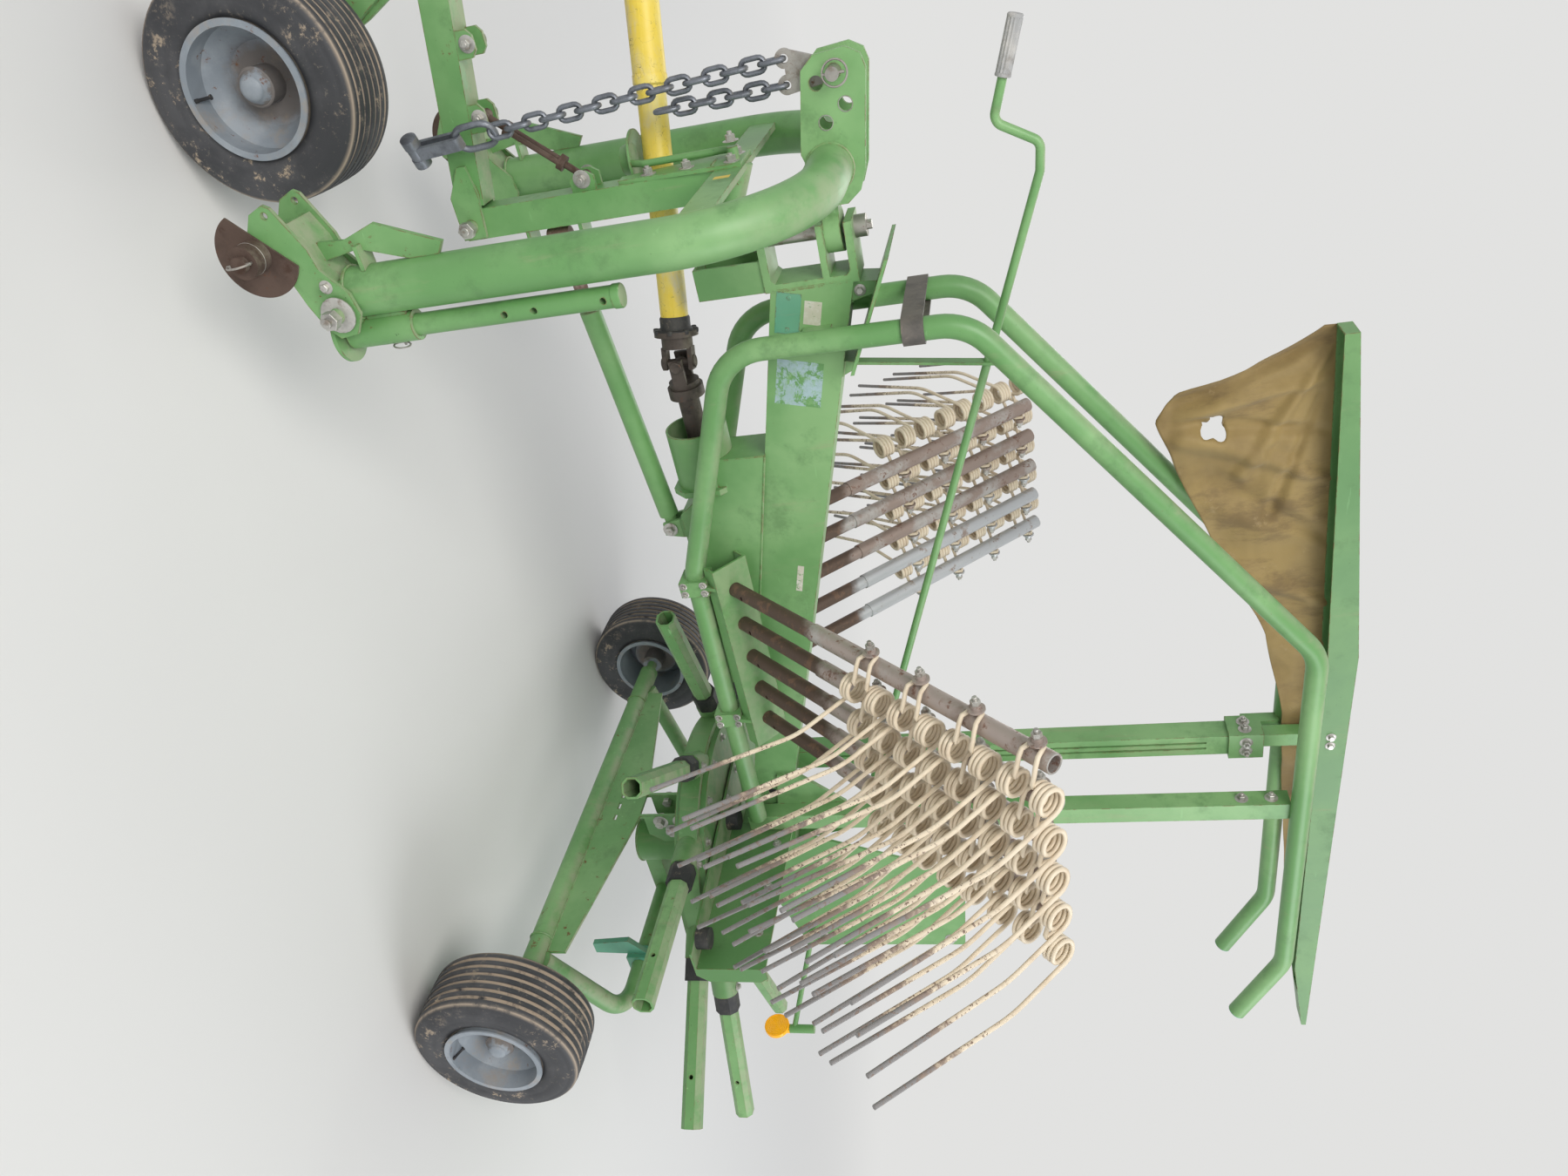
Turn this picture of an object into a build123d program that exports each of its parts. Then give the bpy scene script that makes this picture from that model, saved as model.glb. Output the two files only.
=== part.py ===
# Single-rotor hay rake on a three-point headstock, parked with its tine arms stowed.
# Millimetres, +X forward to the tractor, +Y left, +Z up, ground at Z = 0.
# Every size is written from the axle centre; the last step moves all to the box centre.
import os
from math import radians, tan
from build123d import *

# Clearances
SEAT_GAP = 0.3
RUNNING_GAP = 0.4
MOVING_GAP = 6.0

# Wheels
TYRE_R = 205.0
TYRE_W = 165.0
TYRE_SHOULDER = 9.0
TYRE_BEAD_R = 112.0
RIM_FLANGE_R = 120.0
RIM_SHEET = 4.0
DISH_R = 74.0
DISH_DEPTH = 40.0
HUB_STANDOFF = 45.0
HUB_R = 34.0
HUB_LENGTH = 118.0
HUB_CAP_R = 22.0
SPINDLE_R = 16.0
CASTOR_TRAIL = 145.0
FRONT_WHEEL_Y = 130.0

# Axle with its gusset plate and the bow behind it
AXLE_TUBE_R = 30.0
AXLE_TUBE_HALF = 640.0
GUSSET_T = 8.0
GUSSET_HALF = 520.0
GUSSET_END_H = 80.0
GUSSET_TOP_H = 155.0
GUSSET_TOP_HALF = 55.0
SLOT_W = 26.0
SLOT_H = 9.0
SLOT_PITCH = 45.0
BOW_R = 25.0
BOW_END_Y = 545.0
BOW_END_RISE = 25.0
BOW_REAR_X = -330.0
BOW_REAR_Y = 470.0
BOW_Z = 345.0
BOW_BEND = 110.0
BOW_MOUNT_W = 60.0
BOW_CLAMP_Y = 290.0
BOW_CLAMP_W = 44.0
BOW_CLAMP_T = 10.0

# Rotor column and rotor
ROTOR_X = -140.0
ROTOR_Z = 595.0
COLUMN_R = 62.0
JOURNAL_R = 42.0
MOUNT_PLATE_T = 10.0
MOUNT_PLATE_Y = 43.0
MOUNT_PLATE_BOLT_R = 9.0
DRUM_R = 392.0
DRUM_H = 84.0
DRUM_EDGE = 16.0
STUB_COUNT = 10
STUB_PHASE = 17.0
STUB_OFFSET = -248.0
STUB_REACH = 759.0
STUB_SIZE = 50.0
STUB_CORNER = 13.0
STUB_WALL = 5.0
STUB_PIN_R = 5.5
STUB_PIN_FROM_END = 120.0
SLEEVE_R = 37.0
SLEEVE_START = 250.0
SLEEVE_END = 352.0
COLLAR_LENGTH = 56.0
COLLAR_WALL = 7.0

# Rotor head, its side plate and the rest for the folded boom
HEAD_FRONT_X = -60.0
HEAD_REAR_X = -250.0
HEAD_HALF_W = 65.0
HEAD_FLANGE_T = 12.0
HEAD_FLANGE_HALF = 85.0
HEAD_FLANGE_FRONT_X = -14.0
HEAD_FLANGE_REAR_X = -290.0
HEAD_CORNER = 22.0
HEAD_CAP_R = 40.0
HEAD_CAP_H = 34.0
SIDE_PLATE_T = 8.0
TRAY_SHEET = 6.0
TRAY_FRONT_LEFT = (48.0, 560.0)
TRAY_FRONT_RIGHT = (105.0, -26.0)
TRAY_RIGHT_Y = -80.0
TRAY_WALL_TOP_Z = 826.0
TRAY_WALL_RIGHT_Y = 70.0
TRAY_RETURN = 44.0
BUFFER_R = 27.0
BUFFER_H = 34.0
BUFFER_X = 34.0
BUFFER_PLACES_Y = (99.0, 500.0)

# Main beam and the sheet console under it
BEAM_HALF_W = 50.0
BEAM_FRONT_X = 1490.0
BEAM_REAR_X = -60.0
BEAM_TOP_FRONT_Z = 1227.0
BEAM_TOP_SLOPE = 0.2775
BEAM_BOTTOM_FRONT_Z = 1055.0
BEAM_BOTTOM_SLOPE = 0.235
HATCH_R = 13.0
HATCH_X = 90.0
HATCH_DEPTH = 12.0
CONSOLE_HALF_W = 60.0
CONSOLE_FRONT_X = 1130.0
CONSOLE_REAR_X = 600.0
CONSOLE_NECK_X = 1064.0
CONSOLE_FLANGE_T = 14.0
CONSOLE_FLANGE_HALF = 74.0
CONSOLE_FLANGE_CORNER = 32.0

# Swivel between beam and headstock
SWIVEL_X = 1585.0
SWIVEL_PIN_R = 15.0
SWIVEL_HEAD_R = 22.0
SWIVEL_HEAD_H = 24.0
SWIVEL_EYE_R = 44.0
SWIVEL_EYE_LOW_Z = 1182.0
SWIVEL_EYE_HIGH_Z = 1216.0
FORK_TOP_Z = 1240.0
FORK_BOTTOM_Z = 1045.0
FORK_PLATE_T = 16.0
FORK_SHELF_T = 14.0
FORK_HALF_W = 50.0
STOP_BOX_FRONT_X = 1555.0
STOP_BOX_LOW_Z = 902.0
STOP_BOX_HALF_W = 44.0
STOP_BOX_WALL = 6.0

# Headstock arch
ARCH_X = 1710.0
ARCH_R = 44.5
ARCH_HALF_W = 400.0
ARCH_TOP_Z = 1215.0
ARCH_BOTTOM_Z = 385.0
ARCH_BEND = 250.0
ARCH_BOTTOM_BOLT_R = 14.0
ARCH_WASHER_R = 28.0
LINK_PLATE_T = 10.0
LINK_PLATE_GAP = 60.0
LINK_PIN_X = 1876.0
LINK_PIN_Z = 1250.0
LINK_PIN_R = 12.5
LINK_PIN_HEAD_R = 20.0
LINK_HOLE_R = 13.0
LOWER_PIN_X = 1812.0
LOWER_PIN_Z = 264.0
LOWER_PIN_R = 14.0
LOWER_BALL_R = 28.0
LOWER_BALL_LENGTH = 45.0
GUIDE_DISC_R = 75.0
GUIDE_DISC_T = 4.0
BRACKET_PLATE_T = 8.0
BRACKET_GAP = 46.0
FIN_T = 10.0
NECK_HALF_W = 24.0
NECK_LOW_Z = 1150.0
CROSS_Z = 1020.0
CROSS_H = 60.0
CROSS_T = 12.0
POST_SIZE = 60.0
POST_BOTTOM_Z = 440.0
POST_STRAP_T = 8.0
STOP_TUBE_R = 24.0
STOP_TUBE_END_X = 1600.0

# Parking stands
STAND_X = 1636.0
STAND_R = 20.0
STAND_TOP_Z = 877.0
STAND_FOOT_Z = 331.0
STAND_SLEEVE_R = 28.0
STAND_SLEEVE_LOW_Z = 345.0
STAND_SLEEVE_H = 135.0
STAND_FOOT_R = 50.0
STAND_FOOT_H = 8.0
STAND_HOLE_R = 6.0
STAND_HOLES_Z = (846.0, 716.0, 659.0)

# Front wheel arm and castor
ARM_BOLT_X = 1710.0
ARM_BOLT_Z = 462.0
ARM_FRONT_X = 2190.0
ARM_FRONT_Z = 545.0
ARM_SECTION = 60.0
ARM_CHEEK_T = 9.0
ARM_LUGS = ((0.354, 52.0), (0.625, 50.0))
ARM_LUG_HOLE_SHARE = 0.408
ARM_BOLT_R = 13.0
CASTOR_SPINDLE_R = 18.0
CASTOR_SLEEVE_R = 30.0
CASTOR_SLEEVE_HALF = 50.0
CASTOR_LEG = 44.0

# Guard tubes: corners of the bent tube seen from the side
GUARD_R = 24.0
GUARD_Y = 116.0
GUARD_CORNERS_XZ = (
    (-777.0, 2015.0),
    (-550.0, 2128.0),
    (528.0, 2140.0),
    (1400.0, 1446.0),
    (1400.0, 944.0),
    (870.0, 757.0),
    (62.0, 745.0),
)
GUARD_BEND = 120.0
SADDLE_T = 8.0
LUG_HALF = 10.0

# Posts, curtain rail and curtain
POST_LEFT_X = 30.0
POST_LEFT_Y = 85.0
POST_LEFT_SIZE = 50.0
POST_LEFT_TOP_Z = 2114.0
MAST_X = 145.0
MAST_Y = -45.0
MAST_SIZE = 60.0
MAST_TOP_Z = 2052.0
MAST_CLAMP_LOW_Z = 1985.0
MAST_CLAMP_HIGH_Z = 2068.0
MAST_CLAMP_T = 8.0
INNER_BAR_SIZE = 38.0
RAIL_Y = -45.0
RAIL_W = 60.0
RAIL_SHEET = 4.0
RAIL_FRONT_X = 1230.0
RAIL_REAR_X = -1030.0
CURTAIN_T = 9.0

# Stowed tine arms
ARM_COUNT = 5
ARM_PITCH = 99.0
ARM_FOOT = (825.0, 125.0, 849.0)
ARM_VECTOR = (32.0, 658.0, 699.0)
ARM_R = 20.0
ARM_WALL = 4.0
SOCKET_R = 17.5
SOCKET_LENGTH = 300.0
SOCKET_PIN_R = 5.5
SOCKET_PIN_HEIGHT = 34.0
RACK_HALF_W = 48.0
RACK_SHEET = 6.0
RACK_LIP = 36.0
RACK_OVERHANG = 70.0
PEG_H = 30.0
RACK_BRACKET_T = 10.0
RACK_BRACKETS_X = (846.0, 440.0)

# Double tines in the arm's own frame: X to the rear, -Y outwards, Z along the arm
TINE_PLACES = (0.516, 0.666, 0.816, 0.965)
TINE_WIRE_R = 4.75
TINE_COIL_R = 30.0
TINE_COIL_CENTRE = (54.0, -34.0)
TINE_COIL_LENGTH = 34.0
TINE_COIL_OFFSET = 35.0
TINE_BEND = (77.0, -139.0)
TINE_TIP = (5.0, -510.0)
TINE_BOLT_R = 5.0
TINE_WASHER_R = 17.0
TINE_WASHER_T = 4.0
TINE_HEAD_R = 10.0
TINE_HEAD_H = 9.0

# Drive shaft
PTO_PIVOT_X = 1350.0
PTO_Z = 812.0
PTO_FRONT_X = 2400.0
PTO_FRONT_Y = -226.0
PTO_FRONT_Z = 905.0
PTO_GUARD_R = 30.0
PTO_SLEEVE_R = 34.0
PTO_SLEEVE_FROM = 560.0
PTO_JOINT_R = 34.0
PTO_FORK_T = 10.0
PTO_FORK_W = 30.0
PTO_CROSS_R = 9.0
POT_R = 70.0
POT_WALL = 5.0
POT_FRONT_X = 1196.0
GEARBOX_SHAFT_R = 24.0
HOOK_BOLT_Z = 1028.0
HOOK_ROD_Y = -28.0
HOOK_ROD_R = 7.0
HOOK_BEND = 18.0
SAUCER_R = 58.0
SAUCER_DROP = 15.0

# Swing strut between console and headstock post
STRUT_FRONT = (1655.0, 0.0, 629.0)
STRUT_REAR = (945.0, 0.0, 694.0)
STRUT_TUBE_R = 23.0
STRUT_ROD_R = 15.0
STRUT_ROD_LENGTH = 165.0
STRUT_BALL_R = 18.0

# Crank for the working height
CRANK_ROD_R = 9.0
CRANK_BEND = 22.0
CRANK_CORNERS_XZ = ((1810.0, 1546.0), (1736.0, 1523.0), (1688.0, 1606.0), (1636.0, 1602.0), (-40.0, 1017.0))
CRANK_GRIP_R = 15.0
CRANK_GRIP_LENGTH = 104.0
CRANK_STAY_X = 1268.0

# Reflector beside the rotor
REFLECTOR_Z = 670.0
REFLECTOR_R = 38.0

# Safety chain
CHAIN_WIRE = 10.0
CHAIN_PITCH = 36.0
CHAIN_LINK_W = 25.0
CHAIN_END_HALF = 7.2
CHAIN_EYE_R = 8.0
CHAIN_PLATE_T = 10.0
CHAIN_PLATE_RIM = 9.0
CHAIN_EYE_FRONT = (1909.0, 20.0, 1160.0)
CHAIN_EYE_BACK = (1864.0, 20.0, 1158.0)
CHAIN_MAIN_END = (1880.0, 72.0, 525.0)
CHAIN_TAIL_END = (1858.0, 14.0, 900.0)
CHAIN_MAIN_LINKS = 16
CHAIN_TAIL_LINKS = 7
BIG_LINK_WIRE = 13.0
BIG_LINK_LENGTH = 82.0
BIG_LINK_W = 50.0
SHACKLE_SHEET = 7.0
SHACKLE_W = 26.0
SHACKLE_LENGTH = 100.0
SHACKLE_BARREL_R = 17.0
SHACKLE_BARREL_LENGTH = 66.0

AXLE_Z = TYRE_R
FRONT_WHEEL_X = ARM_FRONT_X - CASTOR_TRAIL
CENTRE_X = (PTO_FRONT_X + RAIL_REAR_X) / 2

parts = {}


def add(name, *solids):
    """Put solids into one named piece."""
    parts.setdefault(name, []).extend(solids)


def rod(start, end, radius, bore=0.0):
    """Round bar or tube between two points."""
    a, b = Vector(*start), Vector(*end)
    plane = Plane(origin=a, z_dir=b - a)
    face = plane * Circle(radius)
    if bore:
        face -= plane * Circle(bore)
    return extrude(face, amount=(b - a).length, dir=(b - a).normalized())


def post(centre, low, high, radius, bore=0.0):
    """Upright round bar or tube at an (x, y) place."""
    return rod((*centre, low), (*centre, high), radius, bore)


def bar(start, end, wide, high, side=(0, 1, 0)):
    """Square bar between two points; wide is measured along side."""
    a, b = Vector(*start), Vector(*end)
    plane = Plane(origin=a, x_dir=Vector(*side), z_dir=b - a)
    return extrude(plane * Rectangle(wide, high), amount=(b - a).length, dir=(b - a).normalized())


def block(x, y, z):
    """Box from three (low, high) pairs."""
    size = (x[1] - x[0], y[1] - y[0], z[1] - z[0])
    centre = ((x[0] + x[1]) / 2, (y[0] + y[1]) / 2, (z[0] + z[1]) / 2)
    return Pos(*centre) * Box(*size)


def plate_xz(outline, y_low, y_high):
    """Flat plate: an outline of (x, z) corners between two y values."""
    face = make_face(Polyline(*[(x, y_low, z) for x, z in outline], close=True))
    return extrude(face, amount=y_high - y_low, dir=(0, 1, 0))


def plate_yz(outline, x_low, x_high):
    """Flat plate: an outline of (y, z) corners between two x values."""
    face = make_face(Polyline(*[(x_low, y, z) for y, z in outline], close=True))
    return extrude(face, amount=x_high - x_low, dir=(1, 0, 0))


def plate_xy(outline, z_low, z_high):
    """Flat plate: an outline of (x, y) corners between two z values."""
    face = make_face(Polyline(*[(x, y, z_low) for x, y in outline], close=True))
    return extrude(face, amount=z_high - z_low, dir=(0, 0, 1))


def turned_about_y(outline, centre):
    """Wheel part: an outline of (radius, y) corners turned about its axle line."""
    face = make_face(Polyline(*[(r, y, 0) for r, y in outline], close=True))
    return Pos(*centre) * revolve(face, axis=Axis.Y, revolution_arc=360)


def bent_tube(corners, bend, radius):
    """Round tube of straight runs joined by arcs of one bend radius."""
    points = [Vector(*corner) for corner in corners]
    start = points[0]
    tube = None
    for before, corner, after in zip(points, points[1:], points[2:]):
        into = (corner - before).normalized()
        out = (after - corner).normalized()
        turn = into.get_angle(out)
        reach = bend * tan(radians(turn / 2))
        first, last = corner - into * reach, corner + out * reach
        hinge = into.cross(out).normalized()
        run = rod(tuple(start), tuple(first), radius)
        section = Plane(origin=first, z_dir=into) * Circle(radius)
        elbow = revolve(section, axis=Axis(first + hinge.cross(into) * bend, hinge), revolution_arc=turn)
        tube = run + elbow if tube is None else tube + run + elbow
        start = last
    return tube + rod(tuple(start), tuple(points[-1]), radius)


def wire(points, radius, sides):
    """Wire with flat sides along straight runs."""
    path = Polyline(*points)
    section = Plane(origin=path @ 0, z_dir=path % 0) * RegularPolygon(radius, sides)
    return sweep(section, path=path, transition=Transition.RIGHT)


def chamfered_rectangle(width, height, corner):
    """Corner points of a rectangle about the origin with its corners cut off."""
    w, h, c = width / 2, height / 2, corner
    return [
        (-w + c, -h), (w - c, -h), (w, -h + c), (w, h - c), (w - c, h), (-w + c, h), (-w, h - c),
        (-w, -h + c)
    ]


def beam_top(x):
    return BEAM_TOP_FRONT_Z + (x - BEAM_FRONT_X) * BEAM_TOP_SLOPE


def beam_bottom(x):
    return BEAM_BOTTOM_FRONT_Z + (x - BEAM_FRONT_X) * BEAM_BOTTOM_SLOPE


def guard_z(x):
    """Height of the lower guard run at a place along it."""
    (x_front, z_front), (x_rear, z_rear) = GUARD_CORNERS_XZ[5], GUARD_CORNERS_XZ[6]
    return z_rear + (x - x_rear) * (z_front - z_rear) / (x_front - x_rear)


# Wheels
def tyre(centre):
    half = TYRE_W / 2
    outline = [
        (TYRE_BEAD_R, -half), (TYRE_R - TYRE_SHOULDER, -half), (TYRE_R, -half + TYRE_SHOULDER),
        (TYRE_R, half - TYRE_SHOULDER), (TYRE_R - TYRE_SHOULDER, half), (TYRE_BEAD_R, half),
    ]
    return turned_about_y(outline, centre)


def rim(centre, side):
    """Dished rim with its hub; side is +1 when the hub cap faces +Y."""
    half = TYRE_W / 2 + SEAT_GAP + RIM_SHEET
    seat = TYRE_BEAD_R - SEAT_GAP
    well = seat - RIM_SHEET
    bore = SPINDLE_R + RUNNING_GAP
    hub_back = HUB_LENGTH / 2
    outline = [
        (bore, -hub_back), (HUB_R, -hub_back), (HUB_R, -RIM_SHEET), (DISH_R, -RIM_SHEET),
        (well, DISH_DEPTH - RIM_SHEET), (well, -half), (RIM_FLANGE_R, -half),
        (RIM_FLANGE_R, -half + RIM_SHEET),
        (seat, -half + RIM_SHEET), (seat, half - RIM_SHEET), (RIM_FLANGE_R, half - RIM_SHEET),
        (RIM_FLANGE_R, half),
        (well, half), (well, DISH_DEPTH), (DISH_R, 0), (HUB_R, 0), (HUB_R, hub_back - 16),
        (HUB_CAP_R, hub_back), (0, hub_back), (0, hub_back - 8), (bore, hub_back - 8),
    ]
    return turned_about_y([(r, y * side) for r, y in outline], centre)


half_track = AXLE_TUBE_HALF + HUB_STANDOFF + HUB_LENGTH / 2
wheels = (
    # name, centre, side the hub cap faces
    ("left", (0, half_track, AXLE_Z), 1),
    ("right", (0, -half_track, AXLE_Z), -1),
    ("front", (FRONT_WHEEL_X, FRONT_WHEEL_Y, AXLE_Z), 1),
)
for name, centre, side in wheels:
    add("tyre_" + name, tyre(centre))
    add("rim_" + name, rim(centre, side))
spindle_reach = HUB_LENGTH / 2 - 8 - RUNNING_GAP

# Axle tube, spindles and slotted gusset
axle = rod((0, -AXLE_TUBE_HALF, AXLE_Z), (0, AXLE_TUBE_HALF, AXLE_Z), AXLE_TUBE_R)
for side in (-1, 1):
    start = (0, side * AXLE_TUBE_HALF, AXLE_Z)
    axle += rod(start, (0, side * (half_track + spindle_reach), AXLE_Z), SPINDLE_R)
gusset = plate_yz(
    (
        (-GUSSET_HALF, AXLE_Z), (-GUSSET_HALF, AXLE_Z + GUSSET_END_H),
        (-GUSSET_TOP_HALF, AXLE_Z + GUSSET_TOP_H),
        (GUSSET_TOP_HALF, AXLE_Z + GUSSET_TOP_H), (GUSSET_HALF, AXLE_Z + GUSSET_END_H),
        (GUSSET_HALF, AXLE_Z),
    ),
    -GUSSET_T / 2,
    GUSSET_T / 2,
)
for number in (-1, 0, 1):
    gusset -= Pos(0, number * SLOT_PITCH, AXLE_Z + GUSSET_END_H) * Box(GUSSET_T * 2, SLOT_W, SLOT_H)
add("axle", axle + gusset)

# Bow behind the axle, with its seat on the column and a clamp
bow = bent_tube(
    (
        (0, -BOW_END_Y, AXLE_Z + BOW_END_RISE),
        (BOW_REAR_X, -BOW_REAR_Y, BOW_Z),
        (BOW_REAR_X, BOW_REAR_Y, BOW_Z),
        (0, BOW_END_Y, AXLE_Z + BOW_END_RISE),
    ),
    BOW_BEND,
    BOW_R,
)
bow += block((BOW_REAR_X, ROTOR_X), (-BOW_MOUNT_W / 2, BOW_MOUNT_W / 2), (BOW_Z - BOW_R, BOW_Z + BOW_R))
bow -= post((ROTOR_X, 0), BOW_Z - 60, BOW_Z + 60, COLUMN_R + SEAT_GAP)
bow -= rod((0, -AXLE_TUBE_HALF, AXLE_Z), (0, AXLE_TUBE_HALF, AXLE_Z), AXLE_TUBE_R + SEAT_GAP)
bow -= block((-GUSSET_T / 2 - SEAT_GAP, 60), (-GUSSET_HALF, GUSSET_HALF), (AXLE_Z, AXLE_Z + GUSSET_TOP_H))
add("bow", bow)
clamp_y = (BOW_CLAMP_Y - BOW_CLAMP_W / 2, BOW_CLAMP_Y + BOW_CLAMP_W / 2)
clamp = Pos(BOW_REAR_X, BOW_CLAMP_Y, BOW_Z) * Box(
    2 * (BOW_R + BOW_CLAMP_T), BOW_CLAMP_W, 2 * (BOW_R + BOW_CLAMP_T)
)
clamp -= rod((BOW_REAR_X, clamp_y[0] - 1, BOW_Z), (BOW_REAR_X, clamp_y[1] + 1, BOW_Z), BOW_R + SEAT_GAP)
clamp += plate_xz(
    (
        (BOW_REAR_X + BOW_R + BOW_CLAMP_T, BOW_Z + BOW_R),
        (BOW_REAR_X + 90, BOW_Z - 20),
        (BOW_REAR_X + 78, BOW_Z - 130),
        (BOW_REAR_X + 40, BOW_Z - 130),
        (BOW_REAR_X + BOW_R + BOW_CLAMP_T, BOW_Z - BOW_R),
    ),
    BOW_CLAMP_Y - 8,
    BOW_CLAMP_Y + 8,
)
add("bow_clamp", clamp)

# Rotor column with its journal and the two bolted mount plates
drum_low = ROTOR_Z - DRUM_H / 2
drum_high = ROTOR_Z + DRUM_H / 2
head_low = drum_high + MOVING_GAP
column = post((ROTOR_X, 0), BOW_Z - BOW_R, drum_low - RUNNING_GAP, COLUMN_R)
column += post((ROTOR_X, 0), drum_low - RUNNING_GAP, head_low, JOURNAL_R)
for side in (-1, 1):
    middle = side * MOUNT_PLATE_Y
    plate = plate_xz(
        (
            (GUSSET_T / 2, AXLE_Z + GUSSET_END_H), (GUSSET_T / 2, drum_low - MOVING_GAP),
            (ROTOR_X, drum_low - MOVING_GAP), (ROTOR_X, drum_low - 90),
            (ROTOR_X / 2, AXLE_Z + GUSSET_TOP_H + 12),
            (-GUSSET_T / 2 - SEAT_GAP, AXLE_Z + GUSSET_TOP_H + 12),
            (-GUSSET_T / 2 - SEAT_GAP, AXLE_Z + GUSSET_TOP_H),
            (GUSSET_T / 2, AXLE_Z + GUSSET_TOP_H),
        ),
        middle - MOUNT_PLATE_T / 2,
        middle + MOUNT_PLATE_T / 2,
    )
    for x, z in ((-20, 420), (-20, 480), (-55, 450)):
        plate -= rod((x, middle - 9, z), (x, middle + 9, z), MOUNT_PLATE_BOLT_R)
    column += plate
add("rotor_column", column)

# Rotor: bevelled drum with ten sleeves, tube stubs and rubber collars set to one side of its centre
bevel = DRUM_EDGE
rotor = extrude(Pos(ROTOR_X, 0, drum_low + bevel) * Circle(DRUM_R), amount=DRUM_H - 2 * bevel)
for low in (drum_low, drum_high - bevel):
    rotor += Pos(ROTOR_X, 0, low) * extrude(Circle(DRUM_R - bevel), amount=bevel)
sleeves = []
for number in range(STUB_COUNT):
    turn = Pos(ROTOR_X, 0, ROTOR_Z) * Rot(0, 0, STUB_PHASE + 360.0 / STUB_COUNT * number)
    sleeves.append(turn * rod((SLEEVE_START, STUB_OFFSET, 0), (SLEEVE_END, STUB_OFFSET, 0), SLEEVE_R))
    outer = chamfered_rectangle(STUB_SIZE, STUB_SIZE, STUB_CORNER)
    inner_size = STUB_SIZE - 2 * STUB_WALL
    inner = chamfered_rectangle(inner_size, inner_size, STUB_CORNER - STUB_WALL / 2)
    stub = plate_yz([(STUB_OFFSET + y, z) for y, z in outer], SLEEVE_END, STUB_REACH)
    stub -= plate_yz([(STUB_OFFSET + y, z) for y, z in inner], SLEEVE_END + 60, STUB_REACH + 1)
    pin_x = STUB_REACH - STUB_PIN_FROM_END
    stub -= rod((pin_x, STUB_OFFSET - STUB_SIZE, 0), (pin_x, STUB_OFFSET, 0), STUB_PIN_R)
    add("rotor_stubs", turn * stub)
    collar_outer = chamfered_rectangle(
        STUB_SIZE + 2 * COLLAR_WALL, STUB_SIZE + 2 * COLLAR_WALL, STUB_CORNER + 4
    )
    collar_inner = chamfered_rectangle(STUB_SIZE + 2 * SEAT_GAP, STUB_SIZE + 2 * SEAT_GAP, STUB_CORNER)
    collar_end = SLEEVE_END + COLLAR_LENGTH
    collar = plate_yz([(STUB_OFFSET + y, z) for y, z in collar_outer], SLEEVE_END, collar_end)
    collar -= plate_yz([(STUB_OFFSET + y, z) for y, z in collar_inner], SLEEVE_END - 1, collar_end + 1)
    add("stub_collars", turn * collar)
rotor = rotor + sleeves
rotor -= post((ROTOR_X, 0), drum_low - 1, drum_high + 1, JOURNAL_R + RUNNING_GAP)
add("rotor", rotor)

# Main beam
beam = plate_xz(
    (
        (BEAM_FRONT_X, BEAM_BOTTOM_FRONT_Z), (BEAM_FRONT_X, BEAM_TOP_FRONT_Z),
        (BEAM_REAR_X, beam_top(BEAM_REAR_X)), (BEAM_REAR_X, beam_bottom(BEAM_REAR_X)),
    ),
    -BEAM_HALF_W,
    BEAM_HALF_W,
)
hatch_z = (beam_top(HATCH_X) + beam_bottom(HATCH_X)) / 2
beam -= rod((HATCH_X, BEAM_HALF_W - HATCH_DEPTH, hatch_z), (HATCH_X, BEAM_HALF_W + 1, hatch_z), HATCH_R)
add("main_beam", beam)

# Rotor head: gear housing on a flange, with a side plate that carries the crank's nut
head = block(
    (HEAD_FLANGE_REAR_X, HEAD_FLANGE_FRONT_X), (-HEAD_FLANGE_HALF, HEAD_FLANGE_HALF),
    (head_low, head_low + HEAD_FLANGE_T)
)
head_top = beam_top(BEAM_REAR_X) + 20
housing = plate_xy(
    [
        (x + (HEAD_FRONT_X + HEAD_REAR_X) / 2, y)
        for x, y in chamfered_rectangle(HEAD_FRONT_X - HEAD_REAR_X, 2 * HEAD_HALF_W, HEAD_CORNER)
    ],
    head_low,
    head_top,
)
head += housing
head += post((ROTOR_X, 0), head_top, head_top + HEAD_CAP_H, HEAD_CAP_R)
crank_end = CRANK_CORNERS_XZ[-1]
head += bar((HEAD_FRONT_X - 60, 0, head_top - 10), (crank_end[0] - 30, 0, crank_end[1] - 12), 26, 40)
add("rotor_head", head)
side_y = HEAD_HALF_W
side_plate = plate_xz(
    (
        (-65, 863), (-150, head_low + 40), (HEAD_REAR_X + HEAD_CORNER, head_low + 40), (-541, 778),
        (-538, 1254), (-228, 1283)
    ),
    side_y,
    side_y + SIDE_PLATE_T,
)
add("side_plate", side_plate)

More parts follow.
